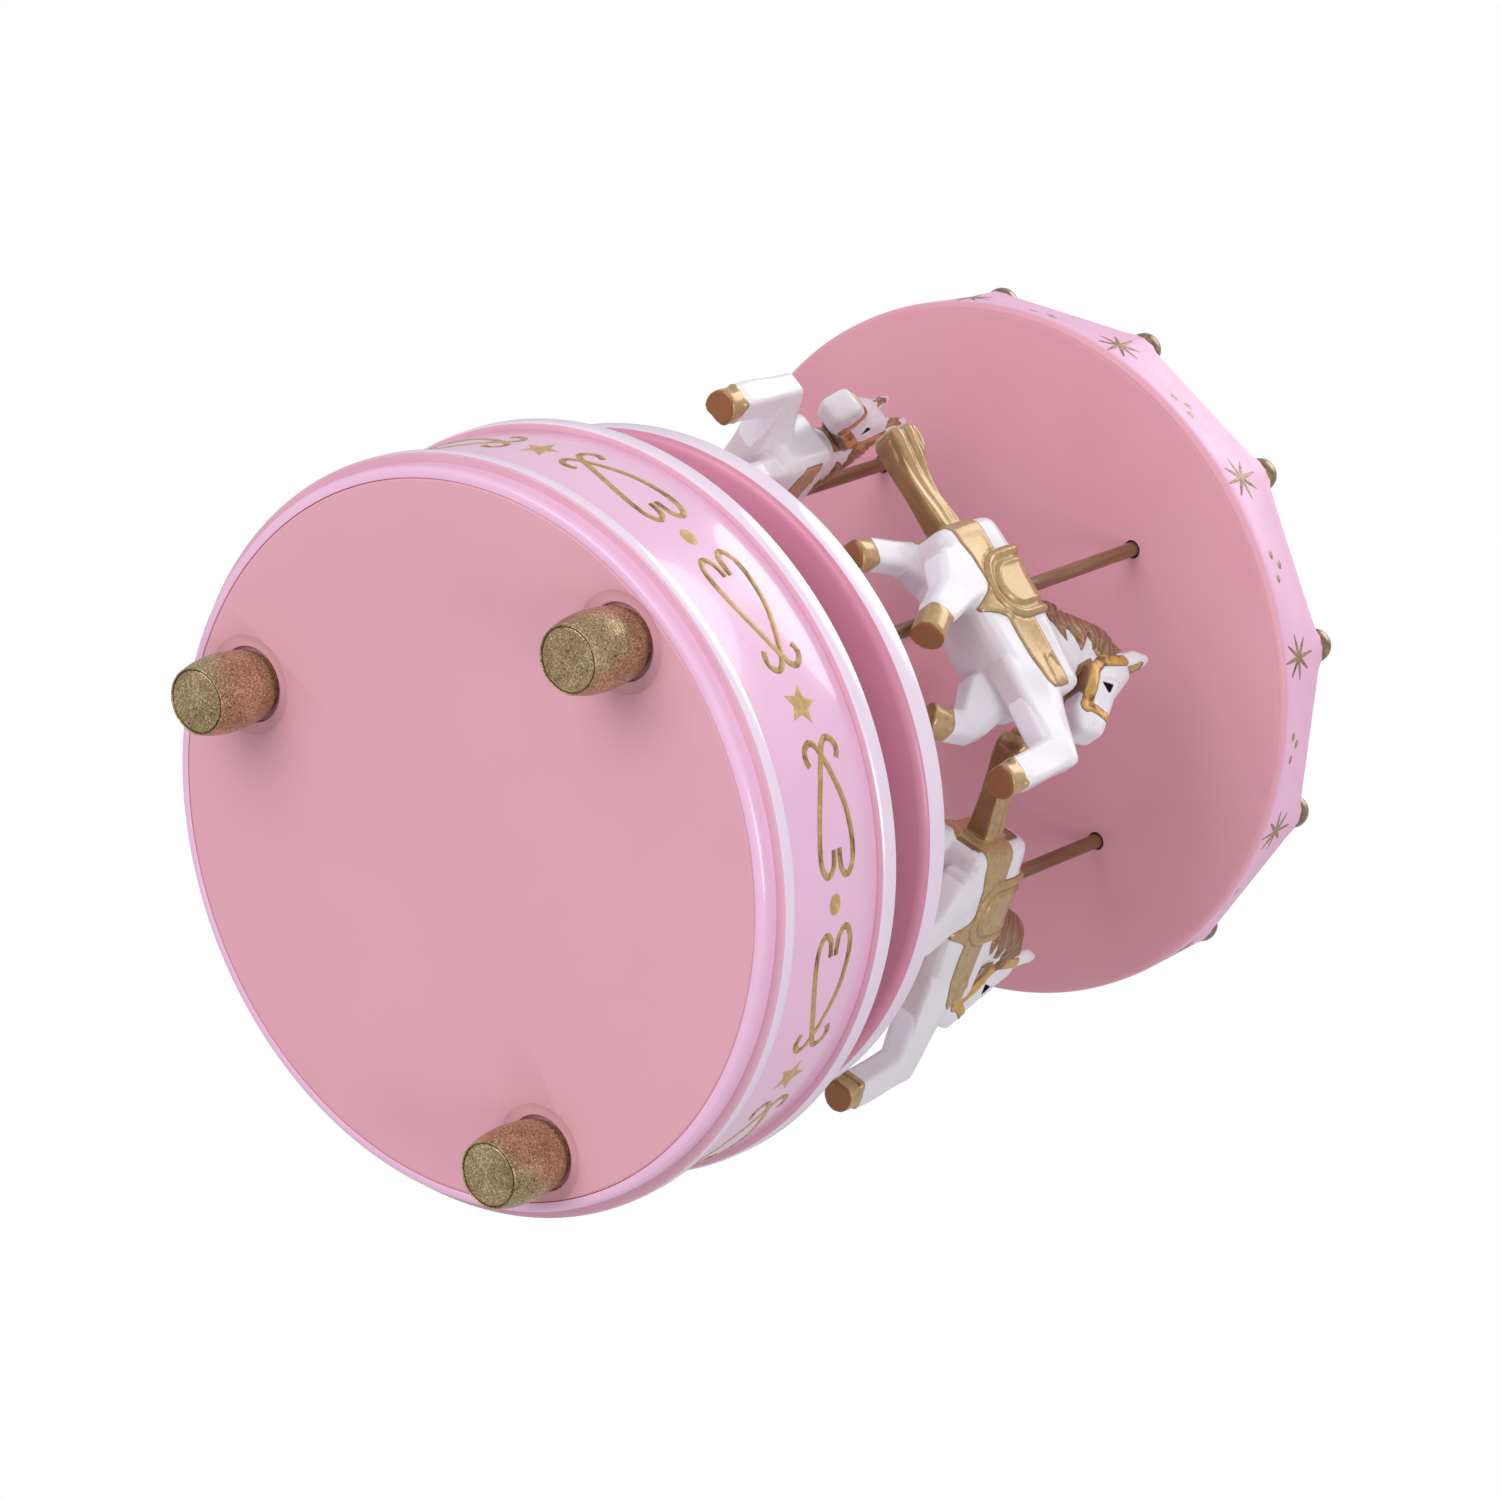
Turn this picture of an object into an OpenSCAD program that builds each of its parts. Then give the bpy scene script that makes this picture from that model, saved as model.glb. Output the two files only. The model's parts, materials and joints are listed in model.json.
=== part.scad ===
// Carousel music box: three feet, a round base that hides a spring-and-comb movement,
// a turntable on the winding arbor, four poles with galloping horses and a twelve-sided canopy.
// Millimetres, Z up. The origin is on the turning axis, in the plane the three feet stand on.

/* [Feet] */
// height of each turned foot
foot_h = 10; // [7:0.5:13]
// widest radius of the barrel-shaped foot
foot_r = 5.2; // [4:0.1:7]
// distance of each foot from the turning axis
foot_ring = [40.8, 38.8, 40.6]; // [36:0.1:42]
// direction of each foot, degrees
foot_dir = [20.5, 150, 258]; // [0:1:360]

/* [Base] */
// outer radius of the straight pink band
band_r = 49; // [44:0.5:54]
// outer radius of the two edge mouldings
flange_r = 50; // [45:0.5:55]
// underside of the base, where the bottom plate is flush
base_z = 10; // [7:0.5:13]
// top of the lower moulding
lower_z = 14.7; // [13:0.1:17]
// underside of the top deck
deck_z = 32.45; // [28:0.1:36]
// thickness of the top deck
deck_t = 2.9; // [2:0.1:4]
// radius of the hollow inside the base wall
hollow_r = 46.4; // [42:0.1:47]

/* [Turntable] */
// radius of the turntable
table_r = 46.6; // [42:0.1:49]
// underside of the turntable
table_z = 45.8; // [43:0.1:48]
// thickness of the turntable
table_t = 4.3; // [3:0.1:6]
// distance of the four poles from the axis
pole_ring = 30.5; // [26:0.5:34]
// radius of a pole
pole_r = 1; // [0.8:0.05:2]
// outer radius of the centre column
column_r = 5; // [4.5:0.1:6]

/* [Canopy] */
// underside of the canopy
canopy_z = 122.6; // [115:0.1:130]
// height of the canopy's upright band
canopy_h = 8.1; // [6:0.1:11]
// radius of the round canopy underside
canopy_r = 48.65; // [44:0.1:52]
// radius to the twelve corners of the canopy's edge
corner_r = 50.8; // [46:0.1:54]
// radius of the beads on the eave
bead_r = 2.5; // [1.5:0.1:3]
// distance of the beads from the axis
bead_ring = 48.2; // [46:0.1:48.5]

/* [Horses] */
// height of the middle of a horse's body
horse_z = 87.5; // [82:0.5:92]
// half width of a horse's body
horse_w = 5; // [4:0.1:6]

/* [Hidden] */
$fn = 96;
deck_top = deck_z + deck_t;
table_top = table_z + table_t;
canopy_top = canopy_z + canopy_h;
arbor_r = 2;
wheel_z = 16.6;
axle_z = 22.05;
cyl_x = 16;
cyl_l = 17;
idler_y = 8.16;
worm_x = 36.5;
worm_y = 13.6;
pink = [0.87, 0.66, 0.74];
orchid = [0.9, 0.75, 0.86];
gold = [0.72, 0.56, 0.3];
brass = [0.8, 0.66, 0.35];
steel = [0.7, 0.71, 0.73];
white = [0.95, 0.94, 0.95];

// one barrel foot with a stepped tip and a blind hole for its screw
module foot(i) {
    color(gold)
    rotate([0, 0, foot_dir[i]])
    translate([foot_ring[i], 0, 0])
    difference() {
        rotate_extrude()
        polygon([[0, 0.5], [2.2, 0.5], [2.4, 0.2], [3.4, 0.2], [3.6, 0], [4.3, 0], [4.5, 0.3],
            [4.8, 1.2], [5.05, 2.6], [foot_r, 4.4], [foot_r, 5.6], [5.1, 7.4], [4.85, 9],
            [4.7, foot_h + 0.25], [0, foot_h + 0.25]]);
        translate([0, 0, 3.2])
        cylinder(r = 1.25, h = foot_h, $fn = 32);
    }
}

// three pan-head screws, driven from inside the plate into the feet
module foot_screws() {
    color(steel)
    for (i = [0:2])
        rotate([0, 0, foot_dir[i]])
        translate([foot_ring[i], 0, 0]) {
            translate([0, 0, 3.6])
            cylinder(r = 1.2, h = 9, $fn = 32);
            difference() {
                translate([0, 0, base_z + 2.05])
                cylinder(r1 = 2.9, r2 = 2.3, h = 1.5, $fn = 32);
                translate([-3, -0.3, base_z + 2.95])
                cube([6, 0.6, 1]);
            }
        }
}

// round plate that closes the base, with a shallow ring recess round each foot
module bottom_plate() {
    color(pink)
    difference() {
        translate([0, 0, base_z])
        cylinder(r = 47.2, h = 2);
        for (i = [0:2])
            rotate([0, 0, foot_dir[i]])
            translate([foot_ring[i], 0, base_z - 1]) {
                cylinder(r = 6.3, h = 1.3, $fn = 64);
                cylinder(r = 1.3, h = 5, $fn = 32);
            }
    }
}

// turned wall: rebate for the plate, rounded lip, lower moulding and straight band
module base_wall() {
    color(orchid)
    rotate_extrude($fn = 160)
    polygon([[47.25, base_z], [48, base_z], [48.4, base_z + 0.15], [48.65, base_z + 0.5],
        [48.7, base_z + 1], [48.7, base_z + 2.3], [flange_r - 0.1, base_z + 2.4],
        [flange_r + 0.05, base_z + 2.6], [flange_r + 0.05, lower_z - 0.35],
        [flange_r - 0.3, lower_z], [band_r + 0.15, lower_z + 0.05], [band_r, lower_z + 0.25],
        [band_r, deck_z - 0.05], [hollow_r, deck_z - 0.05], [hollow_r, base_z + 2.05],
        [47.25, base_z + 2.05]]);
}

// top deck with the upper moulding, a spigot that fits the wall and holes for bush and screws
module base_deck() {
    color(orchid)
    difference() {
        rotate_extrude($fn = 160)
        polygon([[0, deck_z], [43, deck_z], [43, deck_z - 1.4], [hollow_r - 0.05, deck_z - 1.4],
            [hollow_r - 0.05, deck_z], [flange_r - 0.3, deck_z], [flange_r, deck_z + 0.3],
            [flange_r, deck_top - 0.35], [flange_r - 0.35, deck_top], [0, deck_top]]);
        translate([0, 0, deck_z - 1])
        cylinder(r = 4.05, h = 6);
        for (p = screw_spots())
            translate([p[0], p[1], deck_z - 1])
            cylinder(r = 1.4, h = 6, $fn = 32);
    }
}

// where the three movement screws go through the deck
function screw_spots() = [[-11, -17], [36, -14], [6, 15]];

// flanged brass bush that carries the arbor in the deck
module deck_bush() {
    color(brass)
    difference() {
        union() {
            translate([0, 0, deck_z + 0.05])
            cylinder(r = 4, h = deck_t);
            translate([0, 0, deck_top + 0.05])
            cylinder(r = 6.5, h = 1.2);
        }
        translate([0, 0, deck_z - 2])
        cylinder(r = arbor_r + 0.05, h = 9);
    }
}

// cast bedplate that hangs under the deck and carries the whole movement
module bedplate() {
    color(brass)
    difference() {
        intersection() {
            translate([-15, -26.5, deck_z - 2.25])
            cube([55, 44.5, 2.2]);
            translate([0, 0, deck_z - 3])
            cylinder(r = 42.3, h = 4);
        }
        translate([0, 0, deck_z - 4])
        cylinder(r = arbor_r + 0.4, h = 6);
        for (p = screw_spots())
            translate([p[0], p[1], deck_z - 4])
            cylinder(r = 1.25, h = 6, $fn = 32);
    }
}

// three screws from the deck down into the bedplate
module movement_screws() {
    color(steel)
    for (p = screw_spots())
        translate([p[0], p[1], 0]) {
            translate([0, 0, deck_z - 2])
            cylinder(r = 1.2, h = deck_t + 2.2, $fn = 32);
            difference() {
                translate([0, 0, deck_top + 0.05])
                cylinder(r1 = 2.6, r2 = 2, h = 1.4, $fn = 32);
                translate([-3, -0.3, deck_top + 0.85])
                cube([6, 0.6, 1]);
            }
        }
}

// drum that holds the mainspring, fixed to the bedplate
module spring_housing() {
    color(steel)
    difference() {
        translate([0, 0, 19.4])
        cylinder(r = 12, h = deck_z - 2.3 - 19.4);
        translate([0, 0, 20.2])
        cylinder(r = 11.2, h = 20);
        translate([0, 0, 15])
        cylinder(r = arbor_r + 0.4, h = 10);
    }
}

// coiled flat spring between the arbor and the housing
module mainspring() {
    color([0.35, 0.37, 0.42])
    translate([0, 0, 21])
    linear_extrude(height = 7.5)
    polygon(concat(
        [for (a = [0:15:2160]) (3.4 + a / 2160 * 7.2) * [cos(a), sin(a)]],
        [for (a = [2160:-15:0]) (3.0 + a / 2160 * 7.2) * [cos(a), sin(a)]]));
}

// steel comb: seventeen tuned teeth on one thick back
module comb() {
    color(steel)
    difference() {
        union() {
            for (i = [0:16])
                translate([cyl_x + 0.1 + i, -19, axle_z - 0.25])
                cube([0.8, 12, 0.5]);
            translate([cyl_x - 0.5, -25, axle_z - 0.6])
            cube([cyl_l + 1, 6.5, 1.2]);
        }
        for (x = [20, 29])
            translate([x, -22, axle_z - 2])
            cylinder(r = 1.1, h = 4, $fn = 32);
    }
}

// block that spaces the comb from the bedplate
module comb_anvil() {
    color(brass)
    difference() {
        translate([cyl_x - 0.5, -25, axle_z + 0.65])
        cube([cyl_l + 1, 6, deck_z - 2.3 - axle_z - 0.65]);
        for (x = [20, 29])
            translate([x, -22, axle_z])
            cylinder(r = 1.05, h = 6, $fn = 32);
    }
}

// two screws that clamp the comb to its block
module comb_screws() {
    color(steel)
    for (x = [20, 29])
        translate([x, -22, 0]) {
            translate([0, 0, axle_z - 1])
            cylinder(r = 1, h = 6, $fn = 32);
            difference() {
                translate([0, 0, axle_z - 2])
                cylinder(r = 2, h = 1.35, $fn = 32);
                translate([-3, -0.25, axle_z - 2.5])
                cube([6, 0.5, 1]);
            }
        }
}

// two upright plates with the bearings of the pinned cylinder
module cylinder_brackets() {
    color(brass)
    for (x = [14.7, 34.6])
        difference() {
            translate([x, -3, axle_z - 2.2])
            cube([0.8, 6, deck_z - 2.3 - axle_z + 2.2]);
            translate([x - 1, 0, axle_z])
            rotate([0, 90, 0])
            cylinder(r = 0.84, h = 4, $fn = 32);
        }
}

// frame with the bearings of the idler and of the upright air-brake spindle
module governor_frame() {
    color(brass)
    difference() {
        union() {
            translate([30.4, 12.2, 13.7])
            cube([2.4, 3.6, deck_z - 2.3 - 13.7]);
            translate([30.4, 12.2, 26.6])
            cube([8.4, 3, 1.3]);
            translate([30.4, 12.2, 13.7])
            cube([7.6, 3, 0.9]);
            translate([31.4, 7.2, 20.9])
            cube([1, 6, 2.3]);
            translate([37.9, 7, 20.9])
            cube([0.9, 8.2, 6]);
        }
        translate([30, idler_y, axle_z])
        rotate([0, 90, 0])
        cylinder(r = 0.44, h = 10, $fn = 32);
        translate([worm_x, worm_y, 12])
        cylinder(r = 0.44, h = 18, $fn = 32);
    }
}

// arbor on the turning axis: inner end of the spring below, carries the turntable above
module winding_arbor() {
    color(steel)
    difference() {
        union() {
            translate([0, 0, 15])
            cylinder(r = arbor_r, h = 41);
            translate([0, 0, 20.8])
            cylinder(r = 2.9, h = 8);
        }
        translate([-5, -0.4, 54.6])
        cube([10, 0.8, 3]);
    }
}

// crown wheel on the arbor, forty-eight upright teeth
module great_wheel() {
    color(brass)
    difference() {
        union() {
            translate([0, 0, wheel_z])
            cylinder(r = 14.5, h = 1.4);
            translate([0, 0, wheel_z])
            cylinder(r = 4, h = 2.4);
            for (i = [0:47])
                rotate([0, 0, (i + 0.5) * 7.5])
                translate([12.8, -0.25, wheel_z + 1.3])
                cube([1.6, 0.5, 1.1]);
        }
        translate([0, 0, wheel_z - 1])
        cylinder(r = arbor_r + 0.02, h = 6);
        for (i = [0:4])
            rotate([0, 0, i * 72])
            translate([8.2, 0, wheel_z - 1])
            cylinder(r = 2.4, h = 4, $fn = 48);
    }
}

// flanged hub that joins the turntable to the arbor
module hub() {
    color(brass)
    difference() {
        union() {
            translate([0, 0, table_z - 3])
            cylinder(r = 12, h = 2.95);
            translate([0, 0, table_z - 6])
            cylinder(r = 5, h = 4);
            translate([0, 0, table_z - 1])
            cylinder(r = 5.95, h = table_t + 1);
        }
        translate([0, 0, table_z - 8])
        cylinder(r = arbor_r + 0.02, h = 20);
        for (i = [0:2])
            rotate([0, 0, i * 120 + 30])
            translate([9, 0, table_z - 5])
            cylinder(r = 1.2, h = 8, $fn = 32);
    }
}

// three screws up through the hub into the turntable
module hub_screws() {
    color(steel)
    for (i = [0:2])
        rotate([0, 0, i * 120 + 30])
        translate([9, 0, 0]) {
            translate([0, 0, table_z - 3.2])
            cylinder(r = 1.15, h = 6, $fn = 32);
            translate([0, 0, table_z - 4.3])
            cylinder(r1 = 1.9, r2 = 2.4, h = 1.25, $fn = 32);
        }
}

// round nut that clamps the hub on the arbor, hidden inside the column
module arbor_nut() {
    color(steel)
    difference() {
        translate([0, 0, table_top + 0.05])
        cylinder(r = 3.3, h = 2.8);
        translate([0, 0, table_top - 1])
        cylinder(r = arbor_r + 0.02, h = 6);
    }
}

// turntable with a rounded lower edge, centre hole and four pole sockets
module turntable() {
    color(orchid)
    difference() {
        rotate_extrude($fn = 160)
        polygon([[0, table_z], [table_r - 0.9, table_z], [table_r - 0.25, table_z + 0.3],
            [table_r, table_z + 1], [table_r, table_top - 0.3], [table_r - 0.3, table_top],
            [0, table_top]]);
        translate([0, 0, table_z - 1])
        cylinder(r = 6, h = 8);
        for (i = [0:3])
            rotate([0, 0, i * 90 - 90])
            translate([pole_ring, 0, table_z + 1.4])
            cylinder(r = pole_r + 0.03, h = 6, $fn = 48);
        for (i = [0:2])
            rotate([0, 0, i * 120 + 30])
            translate([9, 0, table_z - 1])
            cylinder(r = 1.2, h = 4.2, $fn = 32);
    }
}

// turned tube between turntable and canopy
module centre_column() {
    color(pink)
    difference() {
        rotate_extrude()
        polygon([[0, table_top + 0.05], [8, table_top + 0.05], [8.2, table_top + 0.9],
            [7, table_top + 1.8], [5.6, table_top + 2.4], [column_r, table_top + 4],
            [column_r, canopy_z - 4], [5.6, canopy_z - 2.2], [6.6, canopy_z - 1.2],
            [6.6, canopy_z - 0.05], [0, canopy_z - 0.05]]);
        translate([0, 0, table_top - 1])
        cylinder(r = 3.6, h = 90);
    }
}

// plug inside the column that the tie rod screws into
module rod_anchor() {
    color(steel)
    difference() {
        translate([0, 0, 60])
        cylinder(r = 3.58, h = 4);
        translate([0, 0, 59])
        cylinder(r = 1.52, h = 8);
    }
}

// rod from the plug up to the finial, holds the canopy down
module tie_rod() {
    color(steel)
    translate([0, 0, 60.5])
    cylinder(r = 1.5, h = 106);
}

// one pole, from its socket in the turntable to its socket above the canopy plate
module pole(i) {
    color([0.55, 0.4, 0.27])
    rotate([0, 0, i * 90 - 180])
    translate([pole_ring, 0, table_z + 1.5])
    cylinder(r = pole_r, h = canopy_z + 6 - table_z - 1.5, $fn = 48);
}

// stretched round form used to build up the horse
module lump(x, y, z, r, s) {
    translate([x, y, z])
    scale(s)
    sphere(r = r, $fn = 16);
}

// one leg from shoulder or haunch through the knee to the fetlock, with its hoof
module leg(a, b, c, h) {
    hull() {
        lump(a[0], a[1], a[2], 3, [1.1, 0.75, 1.2]);
        lump(b[0], b[1], b[2], 2.3, [1, 0.85, 1]);
    }
    hull() {
        lump(b[0], b[1], b[2], 2.3, [1, 0.85, 1]);
        lump(c[0], c[1], c[2], 1.9, [1, 0.95, 1]);
    }
    hull() {
        lump(c[0], c[1], c[2], 2, [1, 1, 0.8]);
        lump(h[0], h[1], h[2], 2.6, [1, 0.9, 0.5]);
    }
}

// galloping horse, nose along +X, outer side on -Y, pierced by its pole
module horse_shape() {
    difference() {
        union() {
            hull() {
                lump(-5.5, 0, horse_z + 0.4, horse_w, [1, 0.96, 1.4]);
                lump(4, 0, horse_z - 0.4, horse_w, [1.2, 1, 1.46]);
            }
            hull() {
                lump(4, 0, horse_z - 0.4, horse_w, [1.2, 1, 1.46]);
                lump(12.6, 0, horse_z, horse_w, [0.95, 0.96, 1.36]);
            }
            hull() {
                lump(9.5, 0, horse_z + 3, 4.4, [1.25, 0.9, 1]);
                lump(11.5, 0, horse_z + 15.5, 2.8, [1.2, 0.9, 1.2]);
            }
            hull() {
                lump(15, 0, horse_z + 15.5, 2.7, [0.9, 1, 1.2]);
                lump(15.6, 0, horse_z + 10.5, 2.9, [1, 1, 1.1]);
                lump(21.2, 0, horse_z + 4.6, 2.5, [1, 0.9, 1.1]);
            }
            for (y = [-1.6, 1.6])
                hull() {
                    lump(15, y, horse_z + 16.5, 1.3, [0.9, 0.8, 1]);
                    lump(15.2, y * 1.2, horse_z + 22.4, 0.6, [1, 0.8, 1]);
                }
            hull() {
                lump(7.2, 0, horse_z + 8.5, 1.9, [1.2, 0.8, 1.2]);
                lump(12, 0, horse_z + 17, 1.8, [1.2, 0.8, 1]);
            }
            hull() {
                lump(-9, 0, horse_z + 1.2, 2.3, [1, 0.9, 1.1]);
                lump(-22, 0, horse_z + 1.6, 1.7, [1, 1.1, 1.9]);
                lump(-24.8, 0, horse_z + 2.2, 1.2, [1, 1.2, 3.4]);
            }
            leg([14, -2.6, 85], [23.6, -3.4, 81.6], [23.4, -3.6, 73], [23, -3.6, 68]);
            leg([13.6, 2.6, 83], [16.6, 3, 75.8], [13.6, 3.2, 72.6], [11.8, 3.2, 70.4]);
            leg([-3.5, -2.8, 85], [-0.8, -3.7, 78.6], [0.6, -3.9, 74.6], [2, -4, 70.2]);
            leg([-7, 2.8, 85], [-10.6, 3.2, 79.4], [-11.8, 3.2, 76.6], [-12.6, 3.2, 73.4]);
            lump(0, 0, horse_z + 0.9, horse_w, [1.02, 1.08, 1.44]);
        }
        cylinder(r = pole_r + 0.06, h = 200, $fn = 32);
    }
}

// one horse on its pole, glued on at its own height and turned a little on the pole
module horse(i) {
    lift = [0, 2.5, 0.5, 1.5][i - 1];
    turn = [0, -31, -8, -10][i - 1];
    color(white)
    rotate([0, 0, i * 90 - 180])
    translate([pole_ring, 0, lift])
    rotate([0, 0, 90 + turn])
    horse_shape();
}

// round soffit of the canopy with four pole holes and one rod hole
module canopy_plate() {
    color(pink)
    difference() {
        rotate_extrude($fn = 160)
        polygon([[0, canopy_z], [canopy_r - 0.2, canopy_z], [canopy_r - 0.2, canopy_z + 2.2],
            [0, canopy_z + 2.2]]);
        for (i = [0:3])
            rotate([0, 0, i * 90 - 90])
            translate([pole_ring, 0, canopy_z - 1])
            cylinder(r = pole_r + 0.3, h = 5, $fn = 48);
        translate([0, 0, canopy_z - 1])
        cylinder(r = 1.6, h = 5, $fn = 48);
    }
}

// four sockets above the canopy plate that hold the pole tops
module pole_sockets() {
    color(white)
    for (i = [0:3])
        rotate([0, 0, i * 90 - 90])
        translate([pole_ring, 0, 0])
        difference() {
            translate([0, 0, canopy_z + 2.25])
            cylinder(r = 3.4, h = 4.4, $fn = 48);
            translate([0, 0, canopy_z + 1])
            cylinder(r = pole_r + 0.03, h = 5.1, $fn = 48);
        }
}

// upright twelve-sided band of the canopy, round at its lower edge
module canopy_band() {
    color(orchid)
    difference() {
        intersection() {
            translate([0, 0, canopy_z])
            cylinder(r = corner_r, h = canopy_h, $fn = 12);
            translate([0, 0, canopy_z])
            rotate_extrude($fn = 96)
            polygon([[0, 0], [48.9, 0], [49.3, 0.25], [49.6, 0.8], [corner_r + 0.1, 4.5],
                [corner_r + 0.1, canopy_h], [0, canopy_h]]);
        }
        translate([0, 0, canopy_z - 1])
        cylinder(r = canopy_r - 0.15, h = 3.3, $fn = 96);
        translate([0, 0, canopy_z + 2.2])
        cylinder(r = 45.5, h = 20, $fn = 96);
        for (i = [0:11])
            rotate([0, 0, i * 30])
            translate([bead_ring, 0, canopy_top + 1.6])
            sphere(r = bead_r + 0.05, $fn = 24);
    }
}

// tent-shaped twelve-sided roof shell
module canopy_roof() {
    color(white)
    difference() {
        union() {
            translate([0, 0, canopy_top + 0.05])
            cylinder(r = corner_r - 0.4, h = 0.6, $fn = 12);
            translate([0, 0, canopy_top + 0.65])
            cylinder(r1 = corner_r - 0.6, r2 = 30, h = 8.6, $fn = 12);
            translate([0, 0, canopy_top + 9.25])
            cylinder(r1 = 30, r2 = 13, h = 9.6, $fn = 12);
            translate([0, 0, canopy_top + 18.85])
            cylinder(r1 = 13, r2 = 5, h = 9.3, $fn = 12);
        }
        translate([0, 0, canopy_top - 0.9])
        cylinder(r1 = 46.3, r2 = 27.4, h = 8.6, $fn = 96);
        translate([0, 0, canopy_top + 7.69])
        cylinder(r1 = 27.4, r2 = 9.6, h = 10, $fn = 96);
        translate([0, 0, canopy_top])
        cylinder(r = 1.6, h = 40, $fn = 48);
        for (i = [0:11])
            rotate([0, 0, i * 30])
            translate([bead_ring, 0, canopy_top + 1.6])
            sphere(r = bead_r + 0.05, $fn = 24);
    }
}

// twelve beads seated in the eave, one at each corner
module roof_beads() {
    color(gold)
    for (i = [0:11])
        rotate([0, 0, i * 30])
        translate([bead_ring, 0, canopy_top + 1.6])
        sphere(r = bead_r, $fn = 32);
}

// gilt collar at the top of the roof
module roof_collar() {
    color(gold)
    difference() {
        translate([0, 0, canopy_top + 28.2])
        rotate_extrude($fn = 64)
        polygon([[0, 0], [5.6, 0], [6, 0.7], [5.6, 1.5], [4.2, 2], [3.6, 3.2], [4, 4], [0, 4]]);
        translate([0, 0, canopy_top + 20])
        cylinder(r = 1.6, h = 20, $fn = 48);
    }
}

// turned ball and spike, threaded on the tie rod
module finial() {
    color(gold)
    difference() {
        translate([0, 0, canopy_top + 32.25])
        rotate_extrude($fn = 64)
        union() {
            polygon([[0, 0], [3.4, 0], [3.4, 0.8], [1.9, 1.6], [1.9, 2.6], [0, 2.6]]);
            intersection() {
                translate([0, 5.6])
                circle(r = 3.6, $fn = 64);
                square([10, 20]);
            }
            polygon([[0, 8.6], [1.7, 8.6], [1.2, 10], [1.6, 10.8], [0.5, 14.2], [0, 14.6]]);
        }
        translate([0, 0, canopy_top + 30])
        cylinder(r = 1.52, h = 6.2, $fn = 48);
    }
}

// brass cylinder with the pins that pluck the comb
module music_cylinder() {
    color(brass)
    difference() {
        union() {
            translate([cyl_x, 0, axle_z])
            rotate([0, 90, 0])
            cylinder(r = 6.5, h = cyl_l);
            for (i = [0:16], k = [0:2])
                translate([cyl_x + 0.5 + i, 0, axle_z])
                rotate([(i * 67 + k * 131 + (i % 3) * 19) % 360, 0, 0])
                translate([-0.15, -0.15, 6.3])
                cube([0.3, 0.3, 0.6]);
        }
        translate([cyl_x - 1, 0, axle_z])
        rotate([0, 90, 0])
        cylinder(r = 0.82, h = cyl_l + 2, $fn = 32);
    }
}

// steel axle of the cylinder
module cylinder_shaft() {
    color(steel)
    translate([12.4, 0, axle_z])
    rotate([0, 90, 0])
    cylinder(r = 0.8, h = 23.6, $fn = 32);
}

// twelve-tooth pinion in mesh with the crown wheel
module cylinder_pinion() {
    color(steel)
    translate([12.85, 0, axle_z])
    rotate([0, 90, 0])
    difference() {
        union() {
            cylinder(r = 2.7, h = 1.5, $fn = 48);
            for (i = [0:11])
                rotate([0, 0, i * 30])
                translate([2.5, -0.22, 0])
                cube([1.35, 0.44, 1.5]);
        }
        translate([0, 0, -1])
        cylinder(r = 0.82, h = 4, $fn = 32);
    }
}

// thirty-six-tooth gear at the far end of the cylinder
module cylinder_gear() {
    color(brass)
    translate([33.15, 0, axle_z])
    rotate([0, 90, 0])
    difference() {
        union() {
            cylinder(r = 5.75, h = 1);
            for (i = [0:35])
                rotate([0, 0, (i + 0.5) * 10 - 90])
                translate([5.6, -0.17, 0])
                cube([0.8, 0.34, 1]);
        }
        translate([0, 0, -1])
        cylinder(r = 0.82, h = 4, $fn = 32);
    }
}

// idler: twelve-tooth pinion and sixteen-tooth worm wheel on one axle
module governor_wheel() {
    color(brass)
    translate([0, idler_y, axle_z])
    rotate([0, 90, 0]) {
        translate([0, 0, 31.6])
        cylinder(r = 0.4, h = 7, $fn = 32);
        translate([0, 0, 33.15])
        cylinder(r = 1.65, h = 1, $fn = 32);
        for (i = [0:11])
            rotate([0, 0, i * 30])
            translate([1.5, -0.17, 33.15])
            cube([0.84, 0.34, 1]);
        translate([0, 0, 35.9])
        cylinder(r = 3.7, h = 1.2, $fn = 64);
        for (i = [0:15])
            rotate([0, 0, i * 22.5])
            translate([3.5, -0.25, 35.9])
            cube([0.7, 0.5, 1.2]);
    }
}

// upright spindle with a worm and two air-brake blades
module governor_fan() {
    color(steel)
    translate([worm_x, worm_y, 0]) {
        translate([0, 0, 13.8])
        cylinder(r = 0.4, h = 13.9, $fn = 32);
        for (k = [0:5])
            translate([0, 0, 19.2 + k])
            cylinder(r1 = 0.7, r2 = 1.15, h = 0.5, $fn = 32);
        translate([0, 0, 18.6])
        cylinder(r = 0.75, h = 7, $fn = 32);
        translate([-2.9, -0.2, 14.9])
        cube([5.8, 0.4, 2.7]);
    }
}

foot(0);  // foot_1
foot(1);  // foot_2
foot(2);  // foot_3
foot_screws();
bottom_plate();
base_wall();
base_deck();
deck_bush();
bedplate();
movement_screws();
spring_housing();
mainspring();
comb();
comb_anvil();
comb_screws();
cylinder_brackets();
governor_frame();
winding_arbor();
great_wheel();
hub();
hub_screws();
arbor_nut();
turntable();
centre_column();
rod_anchor();
tie_rod();
pole(1);  // pole_1
pole(2);  // pole_2
pole(3);  // pole_3
pole(4);  // pole_4
horse(1);  // horse_1
horse(2);  // horse_2
horse(3);  // horse_3
horse(4);  // horse_4
canopy_plate();
pole_sockets();
canopy_band();
canopy_roof();
roof_beads();
roof_collar();
finial();
music_cylinder();
cylinder_shaft();
cylinder_pinion();
cylinder_gear();
governor_wheel();
governor_fan();
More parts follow.
